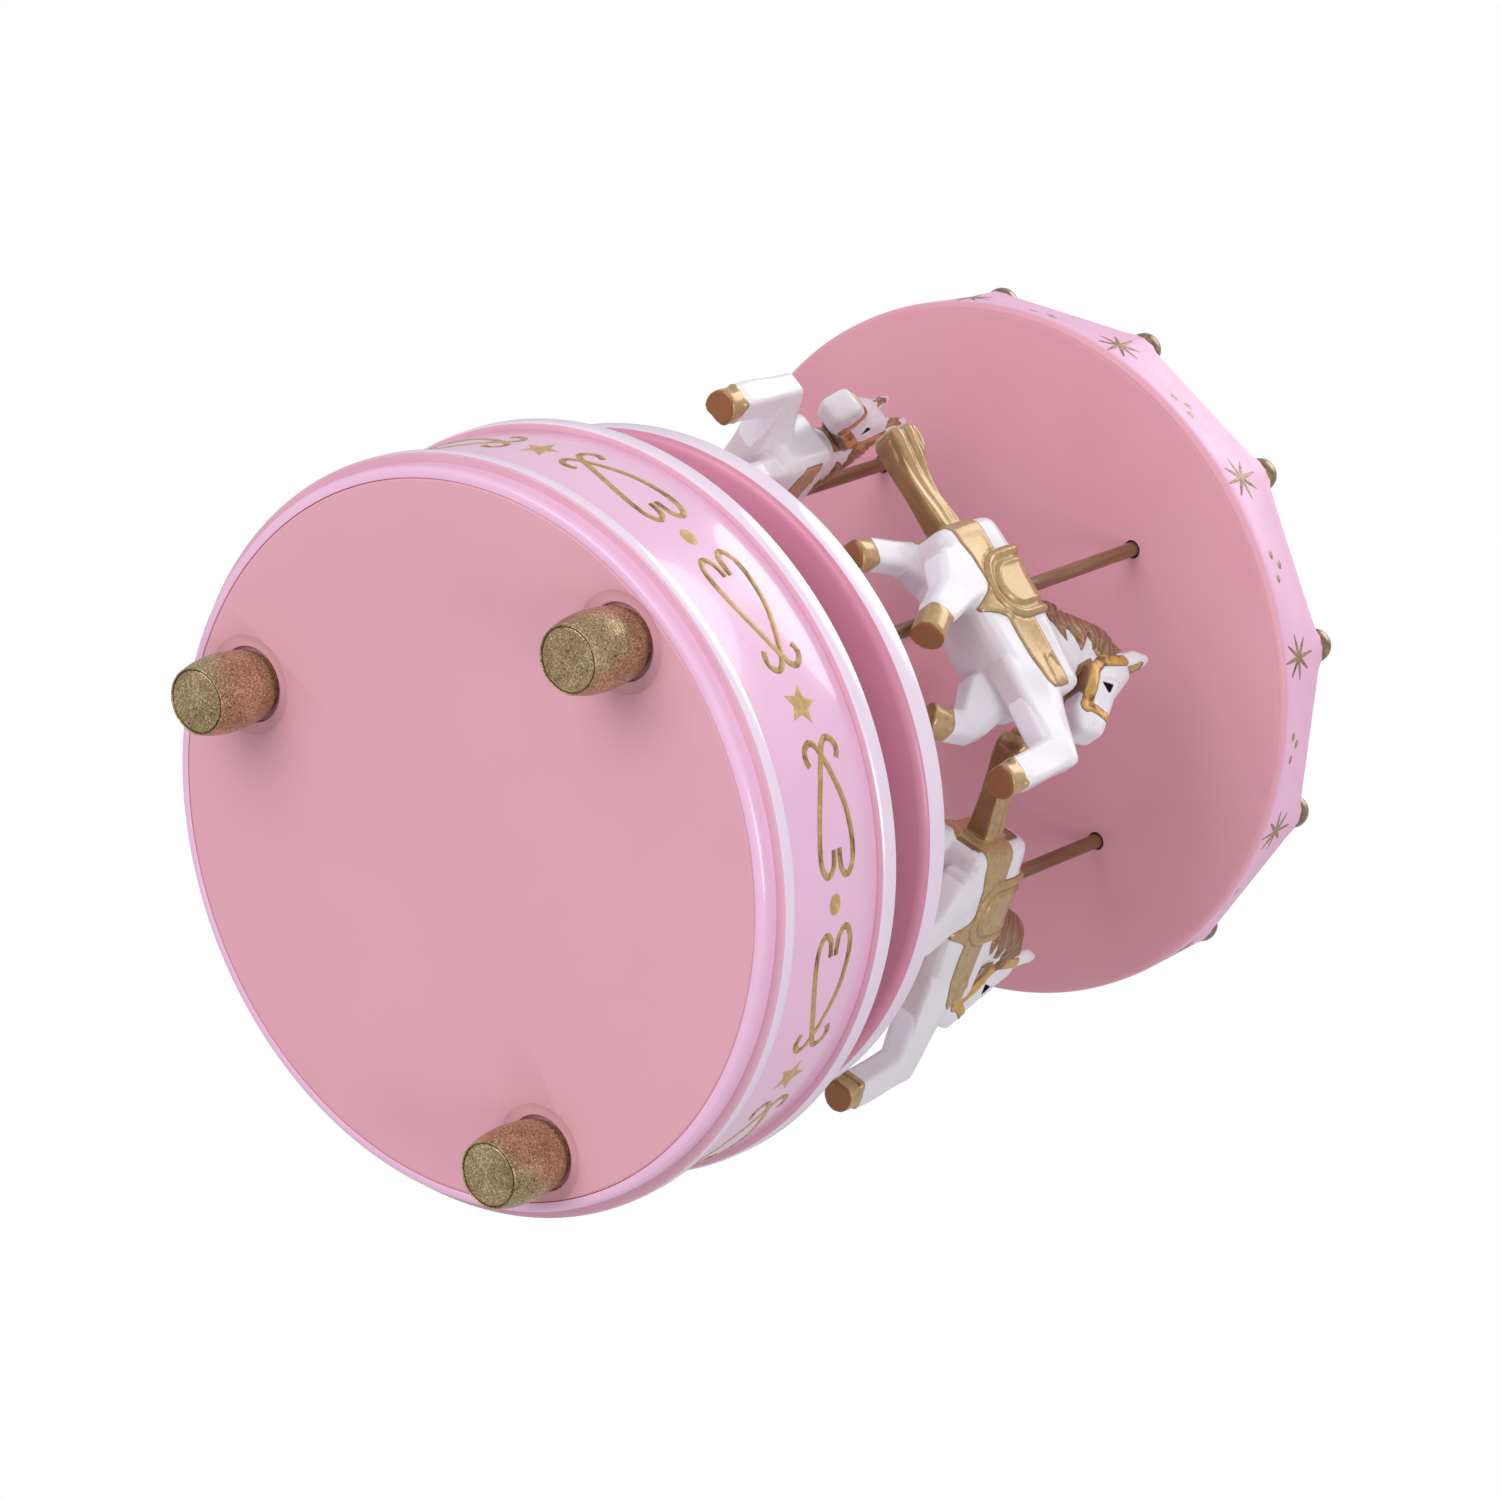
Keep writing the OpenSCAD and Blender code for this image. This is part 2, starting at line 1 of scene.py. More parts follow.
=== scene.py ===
# Carousel music box: three feet, printed pink base, turntable with four galloping horses, canopy.
import json
from math import sin, cos, pi, radians, hypot
import bpy
import numpy as np
from mathutils import Matrix, Vector


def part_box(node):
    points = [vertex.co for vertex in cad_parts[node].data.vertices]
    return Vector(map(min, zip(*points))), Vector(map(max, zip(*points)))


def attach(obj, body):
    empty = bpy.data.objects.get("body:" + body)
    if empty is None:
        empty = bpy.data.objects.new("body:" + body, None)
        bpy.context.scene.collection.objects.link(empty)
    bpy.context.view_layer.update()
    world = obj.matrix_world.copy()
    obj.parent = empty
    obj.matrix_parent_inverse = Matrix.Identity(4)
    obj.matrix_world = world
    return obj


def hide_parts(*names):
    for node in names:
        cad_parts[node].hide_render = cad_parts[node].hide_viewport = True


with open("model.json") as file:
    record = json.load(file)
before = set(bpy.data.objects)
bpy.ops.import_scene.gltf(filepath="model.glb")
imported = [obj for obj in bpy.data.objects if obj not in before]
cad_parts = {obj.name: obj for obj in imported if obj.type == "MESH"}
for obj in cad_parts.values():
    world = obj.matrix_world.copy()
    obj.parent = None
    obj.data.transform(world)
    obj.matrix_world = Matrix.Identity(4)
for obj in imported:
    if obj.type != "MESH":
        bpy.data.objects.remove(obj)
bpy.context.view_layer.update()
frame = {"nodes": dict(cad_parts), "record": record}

# --- Camera: a long lens that stands well below the table line and looks up past the feet at the
# canopy's soffit. It is rolled, so that the music box lies on its side in the frame.
bpy.ops.object.select_all(action='DESELECT')
bpy.ops.object.camera_add(location=(0.1203, -0.5590, -0.5827))
camera = bpy.context.object
camera.name = "camera"
camera.rotation_euler = Matrix(((0.4838, -0.8644, 0.1372),
                                (-0.6181, -0.4485, -0.6456),
                                (0.6196, 0.2275, -0.7512))).to_euler()
camera.data.lens = 156
camera.data.sensor_width = 36
camera.data.clip_start = 0.01
camera.data.clip_end = 20
bpy.context.scene.camera = camera

# --- Floor: a plain pale sheet under the feet. It is opaque from above and clear from below, so that
# the underside of the base can be seen, and it doesn't stop the lamps that stand lower than the table.
bpy.ops.mesh.primitive_plane_add(size=6, location=(0, 0, 0))
floor = bpy.context.object
floor.name = "floor"
floor_paint = bpy.data.materials.new("floor_paper")
floor_paint.use_nodes = True
nt = floor_paint.node_tree
nt.nodes.clear()
out = nt.nodes.new("ShaderNodeOutputMaterial")
paper = nt.nodes.new("ShaderNodeBsdfDiffuse")
paper.inputs["Color"].default_value = (0.86, 0.855, 0.85, 1)
clear = nt.nodes.new("ShaderNodeBsdfTransparent")
side = nt.nodes.new("ShaderNodeNewGeometry")
mix = nt.nodes.new("ShaderNodeMixShader")
nt.links.new(side.outputs["Backfacing"], mix.inputs["Fac"])
nt.links.new(paper.outputs["BSDF"], mix.inputs[1])
nt.links.new(clear.outputs["BSDF"], mix.inputs[2])
nt.links.new(mix.outputs["Shader"], out.inputs["Surface"])
floor.data.materials.append(floor_paint)
floor.visible_shadow = False
floor.visible_glossy = False
floor.visible_diffuse = False

# --- Light: a white room with three soft round lamps, the largest one low on the left, a smaller one
# on the right and one overhead. Each lamp is turned to the middle of the music box.
world = bpy.data.worlds.new("white_room")
bpy.context.scene.world = world
world.use_nodes = True
nt = world.node_tree
nt.nodes.clear()
sky_out = nt.nodes.new("ShaderNodeOutputWorld")
seen = nt.nodes.new("ShaderNodeBackground")
seen.inputs["Color"].default_value = (1, 1, 1, 1)
seen.inputs["Strength"].default_value = 1.0
lit = nt.nodes.new("ShaderNodeBackground")
lit.inputs["Color"].default_value = (1.0, 0.985, 1.0, 1)
lit.inputs["Strength"].default_value = 0.55
path = nt.nodes.new("ShaderNodeLightPath")
choose = nt.nodes.new("ShaderNodeMixShader")
nt.links.new(path.outputs["Is Camera Ray"], choose.inputs["Fac"])
nt.links.new(lit.outputs["Background"], choose.inputs[1])
nt.links.new(seen.outputs["Background"], choose.inputs[2])
nt.links.new(choose.outputs["Shader"], sky_out.inputs["Surface"])
bpy.context.scene.view_settings.view_transform = 'Standard'
for name, place, size, power in (("lamp_left", (-0.72, -0.42, -0.78), 1.1, 7.0),
                                 ("lamp_right", (0.78, -0.98, -0.34), 0.6, 4.4),
                                 ("lamp_top", (-0.3, -0.5, 1.3), 0.9, 7.0)):
    bpy.ops.object.light_add(type='AREA', location=place)
    lamp = bpy.context.object
    lamp.name = name
    lamp.data.shape = 'DISK'
    lamp.data.size = size
    lamp.data.energy = power
    lamp.visible_camera = False
    lamp.rotation_euler = (Vector((0, 0, 0.08)) - Vector(place)).to_track_quat('-Z', 'Y').to_euler()

# --- Feet: three turned wooden barrels in rubbed antique gold, each screwed on from inside the base.
# The tip keeps the lathe's rings and a raised rim; the narrow neck sits in a recess of the plate.
MM = 0.001


def lathe(name, rings, sides=128, crisp=0.12):
    """Rings (radius, height) in mm, drawn upwards from a circle; the ends are closed or meet."""
    bpy.ops.object.select_all(action='DESELECT')
    bpy.ops.mesh.primitive_circle_add(vertices=sides, radius=rings[0][0] * MM,
                                      location=(0, 0, rings[0][1] * MM))
    bpy.ops.object.transform_apply(location=True, rotation=False, scale=False)
    made = bpy.context.object
    made.name = name
    bpy.ops.object.mode_set(mode='EDIT')
    bpy.ops.mesh.select_all(action='SELECT')
    loop = rings[0] == rings[-1]
    if not loop:
        bpy.ops.mesh.edge_face_add()
        bpy.ops.mesh.select_all(action='SELECT')
        bpy.ops.mesh.inset(thickness=rings[0][0] * 0.25 * MM)
        bpy.ops.mesh.select_all(action='SELECT')
        bpy.ops.mesh.region_to_loop()
    was = rings[0]
    for radius, height in rings[1:]:
        bpy.ops.mesh.extrude_edges_move(TRANSFORM_OT_translate={"value": (0, 0, (height - was[1]) * MM)})
        wider = radius / was[0]
        bpy.ops.transform.resize(value=(wider, wider, 1), center_override=(0, 0, height * MM))
        was = (radius, height)
    if not loop:
        bpy.ops.mesh.edge_face_add()
        bpy.ops.mesh.inset(thickness=was[0] * 0.25 * MM)
    bpy.ops.mesh.select_all(action='SELECT')
    bpy.ops.mesh.remove_doubles(threshold=1e-6)
    bpy.ops.mesh.normals_make_consistent(inside=False)
    if crisp:
        bpy.ops.mesh.select_all(action='DESELECT')
        bpy.ops.mesh.edges_select_sharp(sharpness=radians(28))
        bpy.ops.mesh.bevel(offset=crisp * MM, segments=3, affect='EDGES', clamp_overlap=True)
    bpy.ops.object.mode_set(mode='OBJECT')
    bpy.ops.object.shade_smooth_by_angle(angle=radians(32))
    return made


def ramp(nt, fac, stops):
    """Colours along a pattern, as (place, colour) stops."""
    node = nt.nodes.new("ShaderNodeValToRGB")
    node.color_ramp.elements[0].position = stops[0][0]
    node.color_ramp.elements[0].color = (*stops[0][1], 1)
    node.color_ramp.elements[1].position = stops[-1][0]
    node.color_ramp.elements[1].color = (*stops[-1][1], 1)
    for at, colour in stops[1:-1]:
        node.color_ramp.elements.new(at).color = (*colour, 1)
    nt.links.new(fac, node.inputs["Fac"])
    return node.outputs["Color"]


def noise(nt, scale, detail=4.0, rough=0.55, squeeze=(1, 1, 1)):
    """Cloudy noise in object space, squeezed along an axis where the finish is brushed."""
    place = nt.nodes.new("ShaderNodeTexCoord")
    turn = nt.nodes.new("ShaderNodeMapping")
    turn.inputs["Scale"].default_value = squeeze
    node = nt.nodes.new("ShaderNodeTexNoise")
    node.inputs["Scale"].default_value = scale
    node.inputs["Detail"].default_value = detail
    node.inputs["Roughness"].default_value = rough
    nt.links.new(place.outputs["Object"], turn.inputs["Vector"])
    nt.links.new(turn.outputs["Vector"], node.inputs["Vector"])
    return node.outputs["Fac"]


def spread(nt, fac, low, high):
    """Noise stretched over a range of values."""
    node = nt.nodes.new("ShaderNodeMapRange")
    node.inputs["From Min"].default_value = 0.3
    node.inputs["From Max"].default_value = 0.7
    node.inputs["To Min"].default_value = low
    node.inputs["To Max"].default_value = high
    nt.links.new(fac, node.inputs["Value"])
    return node.outputs["Result"]


def grain(nt, shader, height, strength, depth):
    """Relief of a finish, its depth in mm."""
    node = nt.nodes.new("ShaderNodeBump")
    node.inputs["Strength"].default_value = strength
    node.inputs["Distance"].default_value = depth * MM
    nt.links.new(height, node.inputs["Height"])
    nt.links.new(node.outputs["Normal"], shader.inputs["Normal"])


def finish(name, metallic=0.0, coat=0.0, specular=0.5, coat_rough=0.08):
    """A new material with the values that are the same all over it."""
    paint = bpy.data.materials.new(name)
    paint.use_nodes = True
    shader = paint.node_tree.nodes["Principled BSDF"]
    shader.inputs["Metallic"].default_value = metallic
    shader.inputs["Coat Weight"].default_value = coat
    shader.inputs["Coat Roughness"].default_value = coat_rough
    shader.inputs["Specular IOR Level"].default_value = specular
    return paint, paint.node_tree, shader


def dress(piece, paint):
    """Gives a piece one finish all over."""
    piece.data.materials.clear()
    piece.data.materials.append(paint)


def middle_of(node):
    """Where a node stands: the middle of its box, in mm."""
    low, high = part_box(node)
    return ((low[0] + high[0]) / 2 / MM, (low[1] + high[1]) / 2 / MM)


def pick(*pieces):
    """Selects these pieces alone, with the first one active."""
    bpy.ops.object.select_all(action='DESELECT')
    for piece in pieces:
        piece.select_set(True)
    bpy.context.view_layer.objects.active = pieces[0]


def again(pattern, name, place=(0, 0, 0), turn=0):
    """A copy with a mesh of its own, turned about the upright axis and put at a place in mm."""
    pick(pattern)
    bpy.ops.object.duplicate(linked=False)
    made = bpy.context.object
    made.name = name
    made.location = [v * MM for v in place]
    made.rotation_euler = (0, 0, radians(turn))
    bpy.ops.object.transform_apply(location=True, rotation=True, scale=False)
    return made


antique_gold, nt, shader = finish("antique_gold", metallic=0.75, coat=0.1, coat_rough=0.3)
speckle = noise(nt, 4200, 2, 0.6)
cloud = noise(nt, 240, 3)
CLOUD_SHARE = 0.25
clouds = nt.nodes.new("ShaderNodeMath")
clouds.operation = 'MULTIPLY'
clouds.inputs[1].default_value = CLOUD_SHARE
nt.links.new(cloud, clouds.inputs[0])
rubbed = nt.nodes.new("ShaderNodeMath")
rubbed.operation = 'MULTIPLY_ADD'
rubbed.inputs[1].default_value = 1 - CLOUD_SHARE
nt.links.new(speckle, rubbed.inputs[0])
nt.links.new(clouds.outputs[0], rubbed.inputs[2])
gilt_stops = ((0.35, (0.04, 0.024, 0.012)), (0.40, (0.30, 0.20, 0.10)), (0.54, (0.46, 0.335, 0.17)),
              (0.66, (0.88, 0.72, 0.46)))
nt.links.new(ramp(nt, rubbed.outputs[0], gilt_stops), shader.inputs["Base Color"])
nt.links.new(spread(nt, speckle, 0.42, 0.24), shader.inputs["Roughness"])
grain(nt, shader, speckle, 0.7, 0.06)

tool_marks = [(0.5 + 0.35 * ring, 0.05 if ring % 2 else 0.1) for ring in range(10)]
rim = [(3.98, 0.06), (4.06, 0.12), (4.1, 0.42), (4.22, 0.44), (4.26, 0.1), (4.34, 0.0), (4.44, 0.04),
       (4.5, 0.2), (4.56, 0.5)]
barrel = [(4.74, 1.1), (4.96, 2.1), (5.12, 3.3), (5.2, 4.5), (5.2, 5.4), (5.15, 6.5), (5.05, 7.6),
          (4.92, 8.6), (4.82, 9.3), (4.74, 9.8)]
neck = [(4.6, 9.95), (4.2, 10.0), (4.2, 11.25)]
foot_pattern = lathe("foot_pattern", tool_marks + rim + barrel + neck, 96, 0.02)
FEET = (1, 2, 3)
for number in FEET:
    foot = again(foot_pattern, "turned_foot_%d" % number, (*middle_of("foot_%d" % number), 0), 120 * number)
    dress(foot, antique_gold)
    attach(foot, "base")
    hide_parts("foot_%d" % number)
bpy.data.objects.remove(foot_pattern)

# --- Bottom plate: pressed disc in satin salmon pink, let into the wall flush with its lip. Each foot
# stands in a shallow turned recess with a deeper pocket round its neck.
THIRDS = (0.3, 0.5, 0.7)


def satin(name, tints):
    """Sprayed satin paint, cloudy between three tints."""
    paint, nt, shader = finish(name, coat=0.08, specular=0.3, coat_rough=0.35)
    cloudy = ramp(nt, noise(nt, 40, 5), tuple(zip(THIRDS, tints)))
    nt.links.new(cloudy, shader.inputs["Base Color"])
    nt.links.new(spread(nt, noise(nt, 900, 4), 0.42, 0.56), shader.inputs["Roughness"])
    grain(nt, shader, noise(nt, 700, 5, 0.6), 0.12, 0.05)
    return paint


salmon = satin("salmon_satin", ((0.775, 0.385, 0.47), (0.79, 0.40, 0.485), (0.805, 0.415, 0.50)))


def cut_away(piece, tool):
    """Takes the shape of a tool out of a piece."""
    pick(piece)
    cut = piece.modifiers.new("cut", 'BOOLEAN')
    cut.operation = 'DIFFERENCE'
    cut.solver = 'EXACT'
    cut.object = tool
    bpy.ops.object.modifier_apply(modifier="cut")


plate = lathe("pressed_plate", [(12.0, 10.02), (24, 10.0), (36, 10.0), (46.9, 10.0), (47.15, 10.15),
                                (47.2, 10.4), (47.2, 11.95)], 256, 0)
recess_tool = lathe("recess_tool", [(6.75, 9.0), (6.75, 9.98), (6.6, 10.03), (6.3, 10.2), (5.4, 10.28),
                                    (5.1, 10.3), (5.05, 10.5), (5.05, 11.2)], 96, 0)
for number in FEET:
    recess_tool.location = (*[v * MM for v in middle_of("foot_%d" % number)], 0)
    cut_away(plate, recess_tool)
bpy.data.objects.remove(recess_tool)
edge = plate.modifiers.new("edge", 'BEVEL')
edge.width = 0.05 * MM
edge.segments = 2
edge.limit_method = 'ANGLE'
edge.angle_limit = radians(40)
bpy.ops.object.modifier_apply(modifier="edge")
bpy.ops.object.shade_smooth_by_angle(angle=radians(30))
dress(plate, salmon)
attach(plate, "base")
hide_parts("bottom_plate")

# --- Base wall: turned ring sprayed gloss orchid pink, with the lip, the lower moulding and the straight
# band in one piece. The edge of the moulding is pale lavender and its underside salmon rose, made darker as
# painted shade.
def gloss(name, tints, rough=(0.23, 0.28), coat=0.6):
    """Sprayed gloss paint under clear lacquer, cloudy between three tints."""
    paint, nt, shader = finish(name, coat=coat, specular=0.5, coat_rough=0.06)
    cloudy = ramp(nt, noise(nt, 55, 4), tuple(zip(THIRDS, tints)))
    nt.links.new(cloudy, shader.inputs["Base Color"])
    nt.links.new(spread(nt, noise(nt, 450, 3), rough[0], rough[1]), shader.inputs["Roughness"])
    grain(nt, shader, noise(nt, 160, 2, 0.4), 0.03, 0.05)
    return paint


def by_facing(piece, down, sideways, limit=-0.55):
    """The faces that look down take the second finish, a darker rose here: painted shade on the undersides.
    """
    piece.data.materials.clear()
    piece.data.materials.append(sideways)
    piece.data.materials.append(down)
    for face in piece.data.polygons:
        face.material_index = 1 if face.normal.z < limit else 0


orchid = gloss("orchid_gloss", ((0.88, 0.52, 0.74), (0.90, 0.54, 0.76), (0.92, 0.56, 0.78)))
lavender = gloss("lavender_gloss", ((0.85, 0.71, 0.86), (0.88, 0.74, 0.89), (0.91, 0.77, 0.91)))
# rose for the faces that look down: pink paint, darker than the band as painted shade
rose_satin_shaded = gloss("rose_satin_shaded", ((0.74, 0.40, 0.51), (0.76, 0.42, 0.53), (0.78, 0.44, 0.55)),
                   (0.3, 0.4), 0.2)
BAND = 49.0
LIP_TOP = 10.8
MOULDING_FOOT = 12.4
lip = [(47.25, 10.0), (47.9, 10.0), (48.25, 10.1), (48.5, 10.35), (48.64, 10.7), (48.7, 11.2)]
moulding = [(48.7, MOULDING_FOOT), (49.75, MOULDING_FOOT), (50.0, 12.65), (50.05, 13.0), (50.05, 14.2),
            (49.95, 14.5), (49.7, 14.7), (49.1, 14.72)]
band = [(BAND, 14.9), (BAND, 20.0), (BAND, 26.0), (BAND, 32.4)]
inside = [(46.4, 32.4), (46.4, 12.05), (47.25, 12.05), (47.25, 10.0)]
wall = lathe("sprayed_wall", lip + moulding + band + inside, 256, 0.06)
by_facing(wall, rose_satin_shaded, orchid)
wall.data.materials.append(lavender)
for face in wall.data.polygons:
    middle = face.center
    on_moulding = hypot(middle.x, middle.y) > (BAND + 0.2) * MM and middle.z > (MOULDING_FOOT + 0.05) * MM
    if on_moulding and face.material_index == 0:
        face.material_index = 2
    elif middle.z < LIP_TOP * MM:
        face.material_index = 0
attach(wall, "base")
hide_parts("base_wall")

# --- Print on the band: six rounds of a five-pointed star and an oval dot with a looped scroll between
# them, laid on thick in gold paint that stands a little proud of the gloss.
def gold_paint(name, tints):
    """Thick gold paint, flecked from its dark to its bright tint."""
    paint, nt, shader = finish(name, metallic=0.15, coat=0.3, coat_rough=0.2)
    fleck = noise(nt, 900, 4, 0.65)
    flecked = ramp(nt, fleck, ((0.3, tints[0]), (0.5, tints[1]), (0.72, tints[2])))
    nt.links.new(flecked, shader.inputs["Base Color"])
    nt.links.new(spread(nt, fleck, 0.34, 0.5), shader.inputs["Roughness"])
    grain(nt, shader, noise(nt, 2200, 3), 0.5, 0.04)
    return paint


print_gold = gold_paint("printed_gold", ((0.48, 0.27, 0.09), (0.60, 0.36, 0.13), (0.74, 0.50, 0.22)))
PRINT_HEIGHT = 24.15
PRINT_PROUD = 0.16
PRINT_SUNK = 0.012
ROUNDS = 6


def stroke(points, width, taper=1.0):
    """A flat painted line through points (along, up) in mm: a smooth curve with a round bevel."""
    bpy.ops.object.select_all(action='DESELECT')
    bpy.ops.curve.primitive_bezier_curve_add(location=(0, 0, 0))
    line = bpy.context.object
    spline = line.data.splines[0]
    spline.bezier_points.add(len(points) - 2)
    for knot, (along, up) in zip(spline.bezier_points, points):
        knot.co = (along * MM, 0, up * MM)
        knot.handle_left_type = 'AUTO'
        knot.handle_right_type = 'AUTO'
    spline.bezier_points[0].radius = taper
    spline.bezier_points[-1].radius = taper
    line.data.bevel_depth = width / 2 * MM
    line.data.bevel_resolution = 3
    line.data.resolution_u = 8
    line.data.use_fill_caps = True
    bpy.ops.object.convert(target='MESH')
    return bpy.context.object


def daub(along, up, wide, high, points=28):
    """A rounded dot of paint: a circle filled, inset and domed."""
    bpy.ops.object.select_all(action='DESELECT')
    bpy.ops.mesh.primitive_circle_add(vertices=points, radius=0.5 * MM, fill_type='NGON',
                                      rotation=(pi / 2, 0, 0))
    dot = bpy.context.object
    dot.scale = (wide, high, 1)
    dot.location = (along * MM, 0, up * MM)
    bpy.ops.object.transform_apply(location=True, rotation=True, scale=True)
    bpy.ops.object.mode_set(mode='EDIT')
    bpy.ops.mesh.select_all(action='SELECT')
    bpy.ops.mesh.inset(thickness=min(wide, high) * 0.12 * MM, depth=0.25 * MM)
    bpy.ops.mesh.inset(thickness=min(wide, high) * 0.2 * MM, depth=0.1 * MM)
    bpy.ops.mesh.poke()
    bpy.ops.object.mode_set(mode='OBJECT')
    return dot


def painted_star(along, up, size, waist=0.46):
    """A plump five-pointed star: a ten-sided disc with every other corner drawn in."""
    bpy.ops.object.select_all(action='DESELECT')
    bpy.ops.mesh.primitive_circle_add(vertices=10, radius=size * MM, fill_type='NGON',
                                      rotation=(pi / 2, 0, 0))
    star = bpy.context.object
    centre = Vector((along * MM, 0, up * MM))
    star.location = centre
    bpy.ops.object.transform_apply(location=True, rotation=True, scale=False)
    for corner in star.data.vertices:
        if corner.index % 2 == 1:
            corner.co = centre + (corner.co - centre) * waist
    bpy.ops.object.mode_set(mode='EDIT')
    bpy.ops.mesh.select_all(action='SELECT')
    bpy.ops.mesh.inset(thickness=0.16 * MM, depth=0.25 * MM)
    bpy.ops.mesh.poke()
    bpy.ops.mesh.subdivide(number_cuts=2)
    bpy.ops.object.mode_set(mode='OBJECT')
    return star


def wrap(marks, name, radius, middle, proud):
    """Joins flat marks (x along, y out, z up) and bends them round the turning axis at a direction."""
    pick(*marks)
    bpy.ops.object.join()
    made = bpy.context.object
    made.name = name
    bpy.ops.object.mode_set(mode='EDIT')
    bpy.ops.mesh.select_all(action='SELECT')
    bpy.ops.mesh.normals_make_consistent(inside=False)
    bpy.ops.object.mode_set(mode='OBJECT')
    for corner in made.data.vertices:
        along, out, up = corner.co / MM
        angle = radians(middle) + along / radius
        far = radius - PRINT_SUNK + abs(out) * proud
        corner.co = (far * cos(angle) * MM, far * sin(angle) * MM, up * MM)
    bpy.ops.object.shade_smooth_by_angle(angle=radians(50))
    return made


scroll_upper = [(7.6, 27.35), (6.9, 27.75), (5.9, 27.7), (5.05, 27.0), (4.85, 26.2), (5.4, 25.4),
                (6.4, 24.85), (8.2, 24.0), (10.4, 23.15), (13, 22.25), (16, 21.5), (18.6, 21.2),
                (20.8, 21.55), (21.75, 22.5), (21.0, 23.5), (19.8, 23.8), (18.6, 23.9)]
scroll_lower = [(7.7, 22.1), (6.9, 21.75), (5.8, 21.85), (5.05, 22.5), (4.9, 23.3), (5.5, 24.1),
                (6.6, 24.7), (8.4, 25.45), (10.6, 26.25), (13.2, 27.05), (16, 27.5), (18.8, 27.65),
                (21.2, 27.25), (22.2, 26.3), (21.4, 25.3), (19.9, 24.98), (18.6, 25.0)]
BRUSH = 0.96
marks = [painted_star(0, PRINT_HEIGHT, 2.95)]
for scroll in (scroll_upper, scroll_lower):
    marks.append(stroke(scroll, BRUSH))
    marks.append(stroke([(-along, up) for along, up in scroll], BRUSH))
marks.append(daub(BAND * pi / ROUNDS, PRINT_HEIGHT - 0.3, 3.0, 2.35))
print_pattern = wrap(marks, "print_pattern", BAND, -80, PRINT_PROUD)
for number in range(ROUNDS):
    printed = again(print_pattern, "gold_print_%d" % (number + 1), turn=360 / ROUNDS * number)
    dress(printed, print_gold)
    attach(printed, "base")
bpy.data.objects.remove(print_pattern)

# --- Top deck: a turned disc with the upper moulding round its edge, sprayed lavender with a rose
# underside, made darker as painted shade. It is dropped into the wall, and the bush stands in its hole.
BUSH_HOLE = 4.05
DECK_FOOT = 32.45
DECK_TOP = 35.35
spigot = [(BUSH_HOLE, DECK_FOOT), (43.0, DECK_FOOT), (43.0, 31.05), (46.35, 31.05), (46.35, DECK_FOOT)]
moulding = [(49.2, DECK_FOOT), (49.75, 32.6), (49.98, 32.95), (50.0, 33.4), (50.0, 34.85), (49.9, 35.15),
            (49.65, 35.33), (49.2, DECK_TOP)]
top = [(30.0, DECK_TOP), (BUSH_HOLE, DECK_TOP), (BUSH_HOLE, DECK_FOOT)]
deck = lathe("sprayed_deck", spigot + moulding + top, 256, 0.05)
by_facing(deck, rose_satin_shaded, lavender)
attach(deck, "base")
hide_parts("base_deck")

# --- Turntable: a turned disc in pale lavender gloss with a rose underside, deepened as painted shade, and a rounded lower edge.
# It is screwed to the flanged hub on the arbor, and carries the column and the four poles.
# deep rose for the turntable's underside: pink paint, darkened as painted shade
rose = gloss("rose_gloss_shaded", ((0.66, 0.25, 0.36), (0.68, 0.27, 0.38), (0.70, 0.29, 0.40)), (0.3, 0.42), 0.2)
TABLE_FOOT = 45.8
TABLE_TOP = 50.1
under = [(6.0, TABLE_FOOT), (30.0, TABLE_FOOT), (45.2, TABLE_FOOT)]
edge = [(45.9, 45.9), (46.35, 46.25), (46.55, 46.7), (46.6, 47.2), (46.6, 49.5), (46.5, 49.85),
        (46.25, 50.05)]
top = [(45.8, TABLE_TOP), (30.0, TABLE_TOP), (6.0, TABLE_TOP), (6.0, TABLE_FOOT)]
disc = lathe("sprayed_turntable", under + edge + top, 256, 0)
by_facing(disc, rose, lavender, -0.3)
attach(disc, "carousel")
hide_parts("turntable")

# --- Poles: four metal rods in brown-gold paint, a little streaked along their length. Each goes from a
# socket in the turntable through its horse and the soffit's hole into a socket above.
pole_gold, nt, shader = finish("pole_brown_gold", metallic=0.5, coat=0.1, coat_rough=0.3)
streak = noise(nt, 700, 4, 0.6, (1, 1, 0.06))
streaky = ramp(nt, streak, ((0.3, (0.17, 0.095, 0.05)), (0.5, (0.27, 0.165, 0.09)),
                            (0.7, (0.42, 0.28, 0.16))))
nt.links.new(streaky, shader.inputs["Base Color"])
nt.links.new(spread(nt, noise(nt, 600, 4), 0.32, 0.46), shader.inputs["Roughness"])
grain(nt, shader, noise(nt, 1500, 3), 0.3, 0.04)
ROD = 1.0
rod_rings = [(ROD, height) for height in (47.5, 70, 100, 120, 128.3)]
rod_pattern = lathe("rod_pattern", [(ROD - 0.15, 47.3)] + rod_rings + [(ROD - 0.15, 128.5)], 48, 0)
POLES = (1, 2, 3, 4)
for number in POLES:
    rod = again(rod_pattern, "painted_pole_%d" % number, (*middle_of("pole_%d" % number), 0))
    dress(rod, pole_gold)
    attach(rod, "carousel")
    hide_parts("pole_%d" % number)
bpy.data.objects.remove(rod_pattern)

